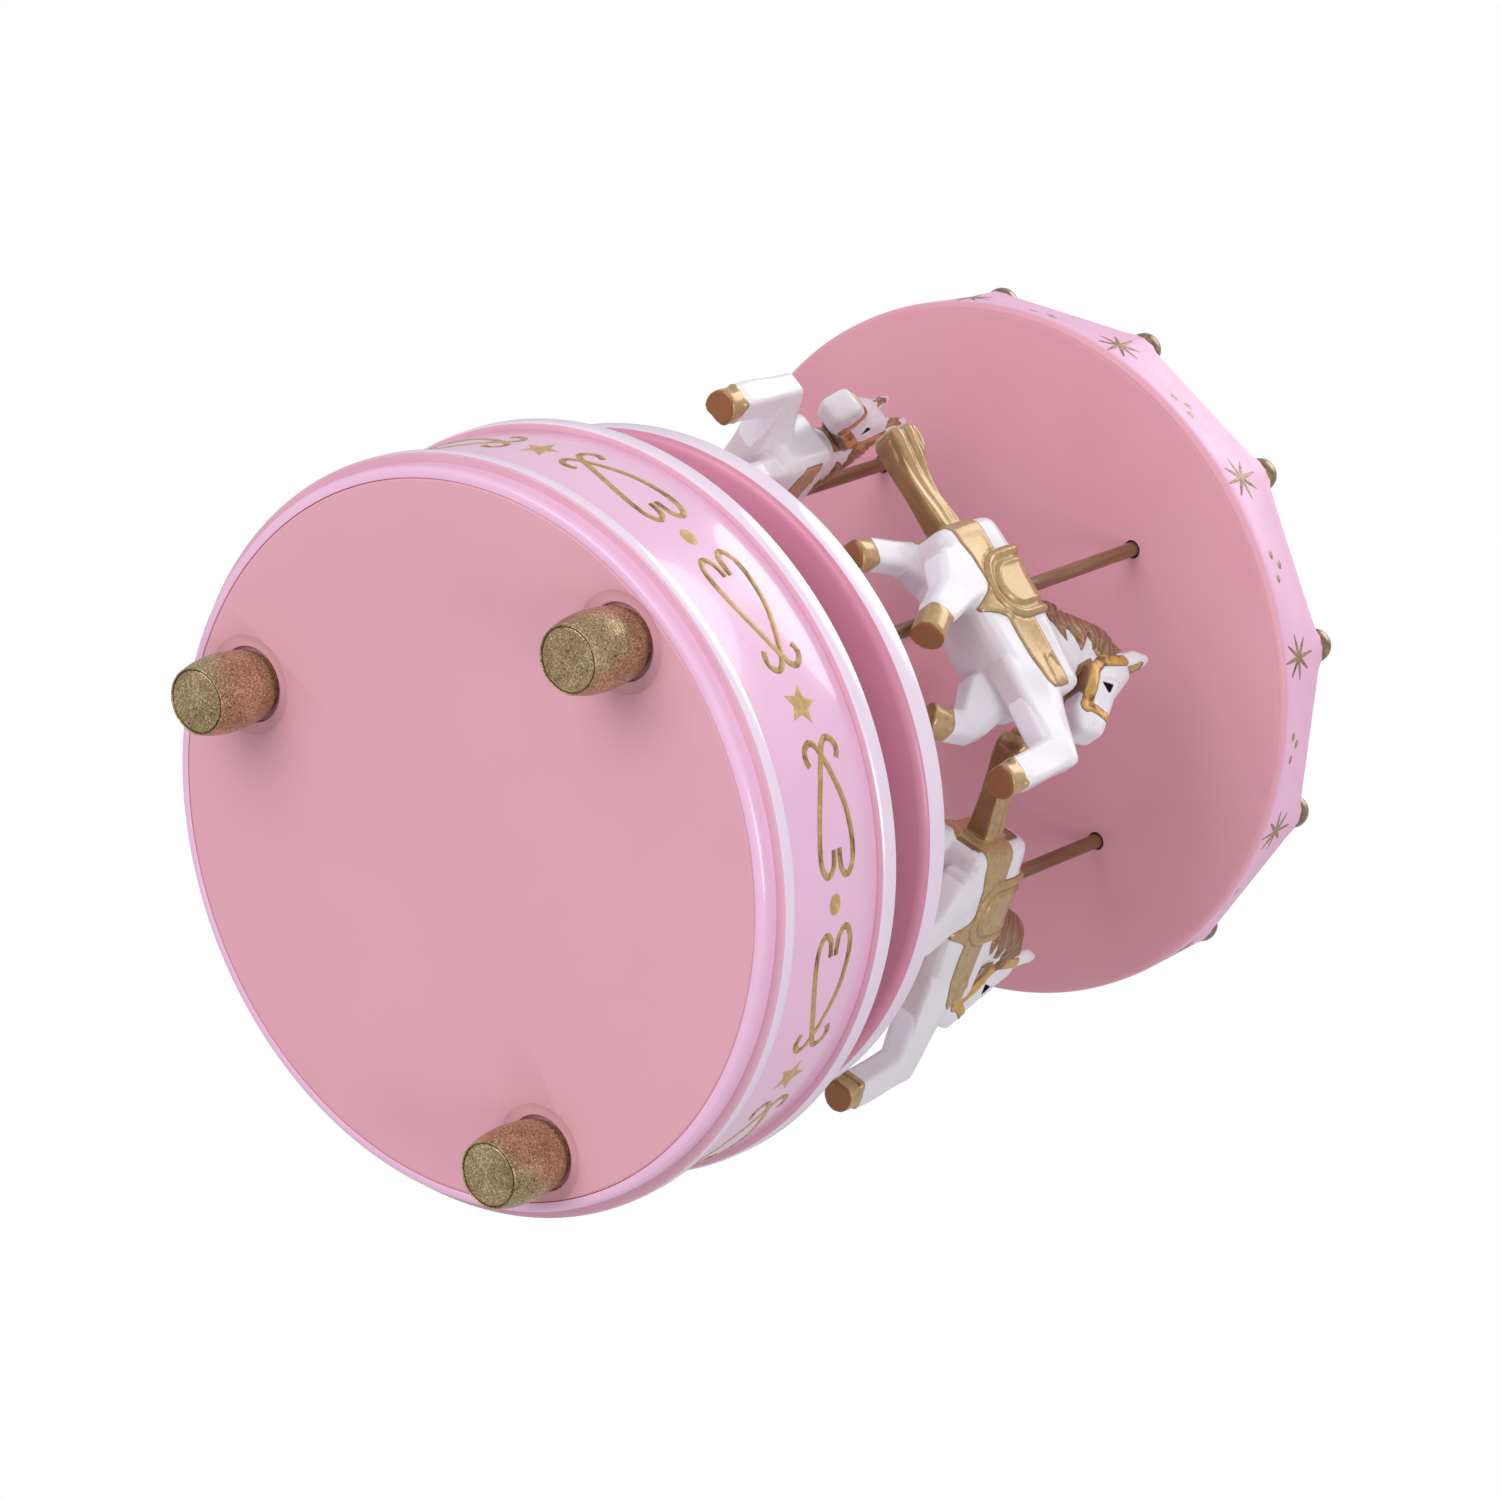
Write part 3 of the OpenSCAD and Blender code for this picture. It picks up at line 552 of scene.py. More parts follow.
# --- Horses: four castings of one galloping horse, dipped white and glazed, with mane, tail, saddle,
# harness and hooves picked out in gold and the soles left brown. A pole passes through each saddle.
# The rough form is laid up from rounded lumps, drawn together by convex hulls and fused.
def lump_chain(stations, keep, square=False):
    """Convex hulls drawn round each pair of neighbouring lumps (x, y, z, half sizes, pitch)."""
    for first, second in zip(stations[:-1], stations[1:]):
        pair = []
        for x, y, z, rx, ry, rz, *pitch in (first, second):
            bpy.ops.object.select_all(action='DESELECT')
            at = (x * MM, y * MM, z * MM)
            if square:
                bpy.ops.mesh.primitive_cube_add(size=2 * MM, location=at, scale=(rx, ry, rz))
            else:
                bpy.ops.mesh.primitive_uv_sphere_add(segments=28, ring_count=16, radius=MM, location=at,
                                                     scale=(rx, ry, rz))
            lump = bpy.context.object
            bpy.ops.object.transform_apply(location=False, rotation=False, scale=True)
            if square:
                bpy.ops.object.mode_set(mode='EDIT')
                bpy.ops.mesh.select_all(action='SELECT')
                bpy.ops.mesh.bevel(offset=0.42 * min(rx, ry, rz) * MM, segments=3, affect='EDGES')
                bpy.ops.object.mode_set(mode='OBJECT')
            if pitch:
                lump.rotation_euler = (0, radians(pitch[0]), 0)
            pair.append(lump)
        pick(*reversed(pair))
        bpy.ops.object.join()
        bpy.ops.object.mode_set(mode='EDIT')
        bpy.ops.mesh.select_all(action='SELECT')
        bpy.ops.mesh.convex_hull()
        bpy.ops.object.mode_set(mode='OBJECT')
        keep.append(bpy.context.object)


def hoof_block(x, y, z, length, width, height, pitch, keep):
    """A hoof: a short twelve-sided drum, flat at the heel, narrowed at the top and bevelled."""
    bpy.ops.object.select_all(action='DESELECT')
    bpy.ops.mesh.primitive_cylinder_add(vertices=12, radius=0.54 * MM, depth=MM)
    block = bpy.context.object
    for corner in block.data.vertices:
        top = corner.co.z > 0
        corner.co.x = max(corner.co.x, -0.36 * MM) * length * (0.86 if top else 1)
        corner.co.y *= width * (0.88 if top else 1)
        corner.co.z *= height
    bpy.ops.object.mode_set(mode='EDIT')
    bpy.ops.mesh.select_all(action='SELECT')
    bpy.ops.mesh.convex_hull()
    bpy.ops.mesh.bevel(offset=0.25 * MM, segments=2, affect='EDGES')
    bpy.ops.object.mode_set(mode='OBJECT')
    block.location = (x * MM, y * MM, z * MM)
    block.rotation_euler = (0, radians(pitch), 0)
    bpy.ops.object.transform_apply(location=True, rotation=True, scale=True)
    keep.append(block)


TRUNK = [(-5.6, 0, 88.2, 4.9, 4.5, 6.4), (2, 0, 87.3, 5.0, 4.8, 6.7), (11.9, 0, 87.6, 4.1, 4.5, 6.0)]
NECK = [(9.0, 0, 90.5, 5.8, 4.2, 4.6), (9.2, 0, 98.0, 4.7, 3.1, 4.4), (11.4, 0, 103.2, 3.7, 2.5, 3.2)]
POLL = [(11.4, 0, 103.2, 3.6, 2.5, 3.1), (14.6, 0, 104.2, 2.5, 2.5, 2.9)]
FACE = [(14.5, 0, 103.6, 2.3, 2.5, 2.7, 20), (16.1, 0, 99.0, 2.6, 2.6, 2.6, 30),
        (18.7, 0, 96.1, 2.1, 2.2, 2.3, 30), (20.2, 0, 93.6, 2.1, 2.15, 2.3, 28)]
TAIL = [(-9.2, 0, 89.0, 2.0, 1.8, 2.3), (-14.8, 0, 88.2, 1.8, 1.6, 2.0), (-20.3, 0, 88.2, 1.8, 1.65, 2.3),
        (-23.6, 0, 89.2, 1.5, 1.85, 3.0), (-25.2, 0, 90.2, 0.7, 1.7, 2.3)]
# each leg's lumps, and its hoof: place, length, width, height, pitch and how far its paint reaches
LEGS = (
    ([(12.2, -2.4, 84.6, 3.6, 2.2, 3.9), (23.4, -3.5, 81.2, 2.4, 1.9, 2.2),
      (24.0, -3.8, 71.4, 2.15, 1.9, 1.2)],
     (24.0, -3.8, 69.4, 4.9, 4.4, 3.0, 0, 3.6)),
    ([(11.6, 2.4, 82.8, 3.1, 2.0, 3.3), (14.7, 3.0, 76.4, 1.8, 1.6, 1.9),
      (13.1, 3.1, 72.6, 1.65, 1.6, 1.5)],
     (12.2, 3.2, 71.1, 4.6, 4.3, 3.4, 38, 3.6)),
    ([(-3.9, -2.6, 84.6, 4.0, 2.1, 4.6), (-1.6, -3.6, 79.2, 2.4, 1.8, 2.6),
      (0.2, -4.0, 74.0, 2.0, 1.8, 1.7)],
     (1.4, -4.1, 71.1, 4.9, 4.3, 4.4, -32, 3.9)),
    ([(-6.4, 2.5, 85.4, 3.4, 2.0, 3.6), (-9.9, 3.0, 81.6, 1.8, 1.7, 1.9),
      (-12.0, 3.2, 76.2, 1.75, 1.7, 1.5)],
     (-12.4, 3.2, 74.4, 4.5, 4.2, 3.2, 10, 3.6)),
)
lumps = []
lump_chain(TRUNK, lumps, True)
lump_chain(NECK, lumps)
lump_chain(POLL, lumps)
lump_chain(FACE, lumps, True)
for side in (-1, 1):
    lump_chain([(14.9, 1.5 * side, 105.8, 1.6, 1.0, 1.6), (15.0, 1.9 * side, 108.4, 1.45, 0.8, 1.2),
                (15.3, 2.0 * side, 110.2, 0.65, 0.55, 0.5)], lumps)
for stations, hoof in LEGS:
    lump_chain(stations, lumps, True)
    hoof_block(*hoof[:7], lumps)
lump_chain(TAIL, lumps, True)
pick(*lumps)
bpy.ops.object.join()
casting = bpy.context.object
casting.name = "horse_casting"
bpy.ops.object.transform_apply(location=True, rotation=True, scale=True)
fuse = casting.modifiers.new("fuse", 'REMESH')
fuse.mode = 'VOXEL'
fuse.voxel_size = 0.24 * MM
bpy.ops.object.modifier_apply(modifier="fuse")
soften = casting.modifiers.new("soften", 'SMOOTH')
soften.factor = 0.5
soften.iterations = 5
bpy.ops.object.modifier_apply(modifier="soften")

count = len(casting.data.vertices)
place = np.empty(count * 3, np.float32)
casting.data.vertices.foreach_get("co", place)
place = place.reshape(-1, 3) / MM
facing = np.empty(count * 3, np.float32)
casting.data.vertex_normals.foreach_get("vector", facing)
facing = facing.reshape(-1, 3)
px, py, pz = place.T


def step(edge_a, edge_b, value):
    """A soft step from 0 at one edge to 1 at the other."""
    t = np.clip((value - edge_a) / (edge_b - edge_a), 0, 1)
    return t * t * (3 - 2 * t)


def ribbon(points, half):
    """Distance in mm to a band drawn on the side of the horse, half as wide as given, negative inside."""
    best = np.full(count, 1e9)
    for (x0, z0), (x1, z1) in zip(points[:-1], points[1:]):
        dx = x1 - x0
        dz = z1 - z0
        along = np.clip(((px - x0) * dx + (pz - z0) * dz) / (dx * dx + dz * dz), 0, 1)
        best = np.minimum(best, np.hypot(px - x0 - along * dx, pz - z0 - along * dz))
    return best - half


def outline(points):
    """Distance in mm to a closed outline drawn on the side of the horse, negative inside."""
    inside = np.zeros(count, bool)
    for (x0, z0), (x1, z1) in zip(points, points[1:] + points[:1]):
        if z1 != z0:
            inside ^= ((z0 > pz) != (z1 > pz)) & (px < (x1 - x0) * (pz - z0) / (z1 - z0) + x0)
    away = ribbon(points + points[:1], 0)
    return np.where(inside, -away, away)


OFF_PIECE = 9.0
far_away = np.full(count, OFF_PIECE)
torso = (np.abs(py) < 6) & (pz > 80)
# saddle: a flap with two rolled rims, and the pointed end of the girth below it
FLAP = 5.1
FLAP_MIDDLE = 89.8
flap = np.where(pz > FLAP_MIDDLE, np.abs(px), np.hypot(px, pz - FLAP_MIDDLE)) - FLAP
flap = np.where(torso & (pz < 99), flap, far_away)
girth = outline([(-2.2, 86.2), (4.6, 86.2), (3.2, 84.0), (2.1, 81.4), (1.6, 81.2), (0.2, 83.6)])
girth = np.where(torso, girth, far_away)
outer_rim = 0.32 * np.exp(-((flap + 0.7) / 0.4) ** 2)
inner_rim = 0.18 * np.exp(-((flap + 2.25) / 0.25) ** 2)
saddle_rise = 0.35 * step(0.15, -0.25, flap) + outer_rim + 0.3 * step(-1.75, -2.05, flap) + inner_rim
saddle_rise += 0.3 * step(0.15, -0.25, np.where(flap < 0.1, far_away, girth))
cantle_and_pommel = step(92.5, 95.5, pz) * np.exp(-((np.abs(px) - 4.5) / 0.75) ** 2)
saddle_rise += 0.7 * cantle_and_pommel * (flap < 0.3)
# harness: a broad strap right round breast, flanks and rump
strap_foot = 84.5 + (px + 10) * 0.055
strap = np.maximum(strap_foot - pz, pz - 90.2)
strap = np.maximum(strap, px - 15.1 + np.maximum(0, 86.6 - pz) * 1.5)
strap = np.maximum(strap, -10.9 - px)
strap = np.where(torso, strap, far_away)
strap_rise = 0.22 * step(0.12, -0.2, strap)
buckle = ribbon([(12.4, 90.0), (10.6, 89.4), (10.7, 88.2), (12.0, 87.7), (14.6, 87.4)], 0.16)
strap_rise += 0.16 * step(0.2, -0.1, buckle) * (strap < -0.1)
# bridle, throat strap, ear linings
head = (px > 12.6) & (pz > 88)
cheek = ribbon([(14.6, 105.4), (13.6, 101.0), (14.2, 99.2), (16.3, 96.8), (18.6, 93.6)], 0.72)
nose_band = ribbon([(18.3, 93.8), (19.6, 95.3), (23.2, 98.2)], 0.68)
straps = np.where(head, np.minimum(cheek, nose_band), far_away)
throat = outline([(12.6, 99.6), (14.5, 98.8), (16.2, 96.8), (17.6, 94.4), (15.6, 95.4), (13.0, 96.6)])
bridle = np.minimum(straps, np.where(head, throat, far_away))
bridle_rise = 0.16 * step(0.12, -0.16, bridle)
ear = (pz > 104.5) & (px > 13.5) & (facing[:, 0] > 0.25)
lining = np.hypot((px - 15.6) * 1.2, (pz - 107.2) * 0.42) - 1.05 + np.abs(np.abs(py) - 1.8) * 0.5
lining = np.where(ear, lining, far_away)
lining_rise = -0.3 * step(0.1, -0.5, lining)
# mane: locks that sweep back and down from the crest
locks = outline([(3.4, 95.4), (8.2, 94.7), (9.6, 95.3), (7.6, 96.3), (8.2, 97.3), (11.3, 97.9), (11.0, 98.7),
                 (9.6, 100.6), (10.8, 100.9), (11.7, 100.5), (13.2, 101.2), (13.4, 107.6), (10.5, 109),
                 (2.5, 104)])
locks = np.where((pz > 94) & (px < 14) & (np.abs(py) < 4), locks, far_away)
sweep = (px * 0.55 + pz * 0.85) + 0.5 * np.sin(px * 1.1) + 0.25 * np.sin(pz * 2.3 + px)
hair = 0.5 + 0.5 * np.sin(sweep * 2 * pi / 1.15)
mane_rise = step(0.15, -0.3, locks) * (0.35 + 0.22 * hair ** 0.7)
# tail: strands that run its length and fan out and curl at the end
tail = np.where((px < -10.2) & (pz > 83.4), px + 10.5, far_away)
fan = (pz - 88.2 - 0.05 * (px + 10)) / (1 + 0.05 * np.clip(-px - 16, 0, 12))
wave = 0.9 * np.sin((px + 10) * 0.42) + np.where(py < 0, 0.0, 1.0)
strands = 0.5 + 0.5 * np.sin(fan * 2 * pi / 1.7 + wave)
curl = 0.5 + 0.5 * np.sin((px * 0.8 + pz) * 2 * pi / 2.2)
tip = step(-17, -24, px)
tail_relief = (0.1 + 0.36 * tip) * strands + 0.1 * curl * tip - 0.1
tail_rise = (tail < 0) * step(-0.4, -1.6, px + 10.2) * tail_relief
# hooves: gold walls and brown soles
hoof_parts = []
sole_parts = []
for stations, (x, y, z, length, width, height, pitch, reach) in LEGS:
    slope = radians(pitch)
    hoof_x = (px - x) * cos(slope) - (pz - z) * sin(slope)
    hoof_z = (px - x) * sin(slope) + (pz - z) * cos(slope)
    looks_up = facing[:, 0] * sin(slope) + facing[:, 2] * cos(slope)
    near = (np.abs(hoof_x) < reach) & (np.abs(py - y) < 3) & (hoof_z > -height / 2 - 1)
    hoof_parts.append(np.where(near & (hoof_z < height / 2 + 1.5), hoof_z - height * 0.5, far_away))
    sole = np.maximum(hoof_z + height / 2 - 0.5, (looks_up + 0.62) * 1.2)
    sole_parts.append(np.where(near & (hoof_z < 0), sole, far_away))
hooves = np.min(hoof_parts, axis=0)
soles = np.min(sole_parts, axis=0)
hoof_rise = 0.14 * step(0.1, -0.15, hooves)
# eye: a painted drop inside a shallow lid
eye_x = px - 17.2
eye_z = pz - 99.6
eye = np.maximum(-eye_z - 0.62, np.abs(eye_x) * 0.88 + eye_z * 0.48 - 0.62)
eye = np.hypot(np.maximum(eye + 0.3, 0), np.maximum(np.abs(eye_x) - 0.75, 0)) - 0.3
eye = np.where(head, eye, far_away)
lid = 0.16 * np.exp(-((eye - 0.35) / 0.3) ** 2)
nostril = np.where(head, np.hypot((px - 21.3) * 1.3, pz - 93.6) - 0.35, far_away)
muscle = 0.12 * np.sin(px * 0.5 + 1.0) * np.sin(pz * 0.45) * (pz < 96)
dents = 0.3 * step(0.3, -0.2, nostril) + 0.12 * step(0.25, -0.15, eye)
rise = saddle_rise + np.where(flap < 0.2, 0, strap_rise) + bridle_rise + lining_rise + mane_rise
rise = rise + tail_rise + hoof_rise + lid - dents + muscle
place = place + facing * rise[:, None]
casting.data.vertices.foreach_set("co", (place * MM).astype(np.float32).ravel())
gilt = np.minimum.reduce([flap, girth, strap, bridle, lining, locks, tail, hooves])
groove_and_shade = 0.9 * (locks < 0.1) * (1 - hair) + (0.25 + 0.6 * tip) * (tail < 0) * (1 - strands)
groove_and_shade = np.clip(groove_and_shade, 0, 1)
groove_and_shade += 0.8 * step(0.4, 0.1, np.abs(flap + 1.45)) + 0.7 * step(0.3, 0.05, np.abs(flap))
# painted shade: gilt that looks down and the throat strap under the jaw are darkened
groove_and_shade += 0.95 * step(-0.25, -0.75, facing[:, 2]) + 0.5 * (throat < 0) * head
groove_and_shade += 0.5 * step(0.3, 0.1, np.abs(buckle)) * (strap < -0.1)
# painted shade: the white greys where it looks down under the belly and under the muzzle
shade = step(0.1, -0.9, facing[:, 2]) * ((torso & (pz < 87)) | ((px > 16) & (pz > 88) & (pz < 98)))
# the mane's locks are brown paint; the throat strap under the jaw is browned as painted shade
mane_brown_and_throat_shade = np.minimum(locks, throat + OFF_PIECE * ~head)
for mark, values in (("gilt", gilt), ("sole", soles), ("eye", eye), ("groove_and_shade", groove_and_shade), ("shade", shade),
                     ("mane_brown_and_throat_shade", mane_brown_and_throat_shade), ("warm", straps)):
    layer = casting.data.attributes.new(mark, 'FLOAT', 'POINT')
    layer.data.foreach_set("value", values.astype(np.float32))
bpy.ops.object.select_all(action='DESELECT')
bpy.ops.mesh.primitive_cylinder_add(vertices=48, radius=(ROD + 0.04) * MM, depth=60 * MM,
                                    location=(0, 0, 88 * MM))
drill = bpy.context.object
cut_away(casting, drill)
bpy.data.objects.remove(drill)
bpy.ops.object.shade_smooth()

LACQUER = 0.35
GOLD_METAL = 0.35
glaze, nt, shader = finish("horse_glaze_and_gold", coat=LACQUER, coat_rough=0.12)


def mark_value(nt, name, low, high):
    """A painted mark read from the skin, 0 at one limit and 1 at the other."""
    read = nt.nodes.new("ShaderNodeAttribute")
    read.attribute_name = name
    node = nt.nodes.new("ShaderNodeMapRange")
    node.interpolation_type = 'SMOOTHSTEP'
    node.inputs["From Min"].default_value = low
    node.inputs["From Max"].default_value = high
    nt.links.new(read.outputs["Fac"], node.inputs["Value"])
    return node.outputs["Result"]


def blend_colour(nt, fac, under, over):
    """One colour laid over another by a pattern or a mark."""
    node = nt.nodes.new("ShaderNodeMix")
    node.data_type = 'RGBA'
    nt.links.new(fac, node.inputs["Factor"])
    for socket, colour in ((node.inputs[6], under), (node.inputs[7], over)):
        if isinstance(colour, tuple):
            socket.default_value = (*colour, 1)
        else:
            nt.links.new(colour, socket)
    return node.outputs[2]


cloud = noise(nt, 120, 4)
white = ramp(nt, cloud, ((0.3, (0.82, 0.79, 0.84)), (0.7, (0.87, 0.84, 0.89))))
# painted shade under the belly and the muzzle
white = blend_colour(nt, mark_value(nt, "shade", 0.0, 1.6), white, (0.60, 0.48, 0.50))
fleck = noise(nt, 1000, 4, 0.65)
gold_tint = ramp(nt, fleck, ((0.25, (0.42, 0.27, 0.12)), (0.5, (0.52, 0.35, 0.165)),
                             (0.75, (0.60, 0.43, 0.22))))
# dark brown in the grooves of mane and tail, and painted shade where the gilt looks down and under the jaw
crevice_and_shade = mark_value(nt, "groove_and_shade", 0.3, 1.15)
gold_tint = blend_colour(nt, crevice_and_shade, gold_tint, (0.24, 0.12, 0.045))
brown = blend_colour(nt, crevice_and_shade, (0.36, 0.20, 0.11), (0.17, 0.075, 0.03))
gold_tint = blend_colour(nt, mark_value(nt, "mane_brown_and_throat_shade", 0.1, -0.1), gold_tint, brown)
patches = ramp(nt, noise(nt, 420, 2), ((0.38, (0.20, 0.09, 0.02)), (0.48, (0.62, 0.34, 0.09)),
                                       (0.7, (0.74, 0.43, 0.12))))
gold_tint = blend_colour(nt, mark_value(nt, "warm", 0.1, -0.1), gold_tint, patches)
edge_line = blend_colour(nt, mark_value(nt, "gilt", 0.16, 0.04), white, (0.24, 0.13, 0.07))
body_tint = blend_colour(nt, mark_value(nt, "gilt", 0.02, -0.1), edge_line, gold_tint)
body_tint = blend_colour(nt, mark_value(nt, "sole", 0.15, -0.1), body_tint, (0.30, 0.122, 0.04))
body_tint = blend_colour(nt, mark_value(nt, "eye", 0.06, -0.08), body_tint, (0.012, 0.011, 0.016))
nt.links.new(body_tint, shader.inputs["Base Color"])
metal = nt.nodes.new("ShaderNodeMath")
metal.operation = 'MULTIPLY'
metal.inputs[1].default_value = GOLD_METAL
nt.links.new(mark_value(nt, "gilt", 0.02, -0.1), metal.inputs[0])
nt.links.new(metal.outputs[0], shader.inputs["Metallic"])
nt.links.new(spread(nt, fleck, 0.26, 0.4), shader.inputs["Roughness"])
dull = nt.nodes.new("ShaderNodeMath")
dull.operation = 'MULTIPLY_ADD'
dull.inputs[1].default_value = -LACQUER
dull.inputs[2].default_value = LACQUER
nt.links.new(mark_value(nt, "eye", 0.06, -0.08), dull.inputs[0])
nt.links.new(dull.outputs[0], shader.inputs["Coat Weight"])
nt.links.new(dull.outputs[0], shader.inputs["Specular IOR Level"])
grain(nt, shader, noise(nt, 1300, 4, 0.6), 0.1, 0.04)

for number, turn, lift in ((1, 0, 0), (2, 59, 2.5), (3, 172, 0.5), (4, 260, 1.5)):
    horse = again(casting, "cast_horse_%d" % number, (*middle_of("pole_%d" % number), lift), turn)
    dress(horse, glaze)
    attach(horse, "carousel")
    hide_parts("horse_%d" % number)
bpy.data.objects.remove(casting)

# --- Centre column: a turned tube in salmon satin, painted darker than the plate as painted shade, with a
# spread foot and head. It stands between turntable and soffit, and the tie rod runs down inside it.
# the plate's salmon in darker tints: painted shade on the column and the soffit
shaded_salmon = satin("shaded_salmon_satin", ((0.735, 0.335, 0.415), (0.75, 0.35, 0.43), (0.765, 0.365, 0.445)))
BORE = 3.6
spread_foot = [(BORE, 50.15), (8.0, 50.15), (8.2, 50.6), (8.0, 51.1), (7.0, 51.9), (5.7, 52.5), (5.2, 53.2)]
tube = [(5.0, 54.2), (5.0, 86.0), (5.0, 118.4)]
spread_head = [(5.2, 119.4), (5.6, 120.3), (6.5, 121.2), (6.6, 121.7), (6.6, 122.55)]
bored = [(BORE, 122.55), (BORE, 86.0), (BORE, 50.15)]
column = lathe("turned_column", spread_foot + tube + spread_head + bored, 96, 0.05)
dress(column, shaded_salmon)
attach(column, "carousel")
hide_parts("centre_column")

# --- Soffit: the round plate in salmon satin that closes the canopy from below, painted darker than the
# plate as painted shade. It is pressed, drilled for the tie rod and for the four poles, and glued into the
# hoop.
POLE_HOLE = ROD + 0.3
SOFFIT = 122.6
SOFFIT_BACK = 124.8
rim = [(48.0, SOFFIT), (48.35, SOFFIT + 0.03), (48.45, SOFFIT + 0.1), (48.45, SOFFIT_BACK)]
soffit = lathe("pressed_soffit", [(POLE_HOLE, SOFFIT), (20, SOFFIT), (40, SOFFIT)] + rim
               + [(POLE_HOLE, SOFFIT_BACK), (POLE_HOLE, SOFFIT)], 256, 0)
drill = lathe("drill", [(POLE_HOLE, 120), (POLE_HOLE, 127)], 48, 0)
for number in POLES:
    drill.location = (*[v * MM for v in middle_of("pole_%d" % number)], 0)
    cut_away(soffit, drill)
bpy.data.objects.remove(drill)
bpy.ops.object.shade_smooth_by_angle(angle=radians(30))
dress(soffit, shaded_salmon)
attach(soffit, "carousel")
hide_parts("canopy_plate")

# --- Canopy band: a moulded hoop, round at its lower edge and drawn out to twelve soft corners at the
# top. Satin orchid that runs softly into the soffit's salmon, in the soffit's darker painted-shade tints; a
# small tab rises in front of each bead.
HOOP = 49.5
HOOP_FLAT = 47.85
HOOP_TOP = 132.3
SWELL_FROM = 122.8
SWELL = 8.0
CORNER = pi / 6


def from_corner(angle):
    """How far a direction is from the nearest of the canopy's twelve corners."""
    return (angle + CORNER / 2) % CORNER - CORNER / 2


def hoop_reach(angle, height, plain):
    """Distance from the axis of the hoop's skin: round below, twelve soft corners above."""
    off = from_corner(angle)
    swell = min(max((height - SWELL_FROM) / SWELL, 0), 1)
    blunt = 0.3 * 2.718 ** (-(off / radians(2.6)) ** 2)
    corners = HOOP_FLAT / cos(CORNER / 2 - abs(off)) - blunt - HOOP
    return plain + corners * swell * swell * (3 - 2 * swell)


lower_edge = [(48.3, 122.7), (48.55, 122.66), (48.9, 122.68), (49.2, 122.85), (49.4, 123.2), (HOOP, 123.8)]
face_rings = [(HOOP, height) for height in (124.8, 125.8, 127, 128.2, 129.6, 131, 131.9)]
inside = [(49.4, HOOP_TOP - 0.1), (49.15, HOOP_TOP), (44.5, HOOP_TOP), (44.5, 124.85), (48.3, 124.85),
          (48.3, 122.7)]
hoop = lathe("moulded_hoop", lower_edge + face_rings + inside, 384, 0)
TAB_RISE = 0.85
TAB_HALF = 2.6
for corner in hoop.data.vertices:
    far = hypot(corner.co.x, corner.co.y) / MM
    if far > 48.6:
        height = corner.co.z / MM
        angle = np.arctan2(corner.co.y, corner.co.x)
        stretch = hoop_reach(angle, height, far) / far
        corner.co.x *= stretch
        corner.co.y *= stretch
        if height > HOOP_TOP - 0.5:
            tab = max(0.0, 1 - (abs(from_corner(angle)) * 50 / TAB_HALF) ** 8)
            corner.co.z += TAB_RISE * tab * MM
bpy.ops.object.shade_smooth_by_angle(angle=radians(35))
spray, nt, shader = finish("hoop_satin", coat=0.1, coat_rough=0.3)
cloud = noise(nt, 55, 4)
# salmon in the soffit's darker tints: painted shade
shaded_salmon_spray = ramp(nt, cloud, ((0.3, (0.75, 0.345, 0.42)), (0.7, (0.78, 0.37, 0.45))))
orchid_spray = ramp(nt, cloud, ((0.3, (0.88, 0.50, 0.71)), (0.7, (0.92, 0.54, 0.75))))
stands = nt.nodes.new("ShaderNodeTexCoord")
split = nt.nodes.new("ShaderNodeSeparateXYZ")
nt.links.new(stands.outputs["Object"], split.inputs["Vector"])
fade = nt.nodes.new("ShaderNodeMapRange")
fade.interpolation_type = 'SMOOTHSTEP'
fade.inputs["From Min"].default_value = 122.65 * MM
fade.inputs["From Max"].default_value = 124.0 * MM
nt.links.new(split.outputs["Z"], fade.inputs["Value"])
two_tone = blend_colour(nt, fade.outputs["Result"], shaded_salmon_spray, orchid_spray)
nt.links.new(two_tone, shader.inputs["Base Color"])
nt.links.new(spread(nt, noise(nt, 450, 3), 0.42, 0.52), shader.inputs["Roughness"])
grain(nt, shader, noise(nt, 160, 2, 0.4), 0.03, 0.05)
dress(hoop, spray)
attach(hoop, "carousel")
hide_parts("canopy_band")

# --- Canopy print: twelve eight-rayed sparks at the corners and twelve groups of three dots between,
# in a duller gold paint than the base, each ray brushed from the middle outwards.
dull_gold = gold_paint("dull_printed_gold", ((0.30, 0.17, 0.09), (0.40, 0.24, 0.13), (0.52, 0.34, 0.2)))
SPARK_HEIGHT = 126.9
ABOVE_SKIN = 0.02
PRINT_RADIUS = 50.0
marks = []
for spoke, reach in enumerate((3.3, 3.15, 3.3, 3.15)):
    slope = radians(45 * spoke + 4)
    knots = [part * reach for part in (-1, -0.45, 0, 0.45, 1)]
    ray = [(knot * cos(slope), SPARK_HEIGHT + knot * sin(slope)) for knot in knots]
    marks.append(stroke(ray, 0.6, 0.4))
spark_pattern = wrap(marks, "spark_pattern", PRINT_RADIUS, 0, PRINT_PROUD)
dots = [daub(0, 128.2, 1.35, 1.35, 18)]
for side in (-1.7, 1.7):
    dots.append(daub(side, 126.35, 1.35, 1.25, 18))
dots_pattern = wrap(dots, "dots_pattern", PRINT_RADIUS, 15, 0.2)
for pattern, name in ((spark_pattern, "gold_spark_%d"), (dots_pattern, "gold_dots_%d")):
    for corner in pattern.data.vertices:
        far = hypot(corner.co.x, corner.co.y) / MM
        angle = np.arctan2(corner.co.y, corner.co.x)
        stretch = (hoop_reach(angle, corner.co.z / MM, HOOP + far - PRINT_RADIUS) + ABOVE_SKIN) / far
        corner.co.x *= stretch
        corner.co.y *= stretch
    for number in range(12):
        mark = again(pattern, name % (number + 1), turn=30 * number)
        dress(mark, dull_gold)
        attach(mark, "carousel")
    bpy.data.objects.remove(pattern)

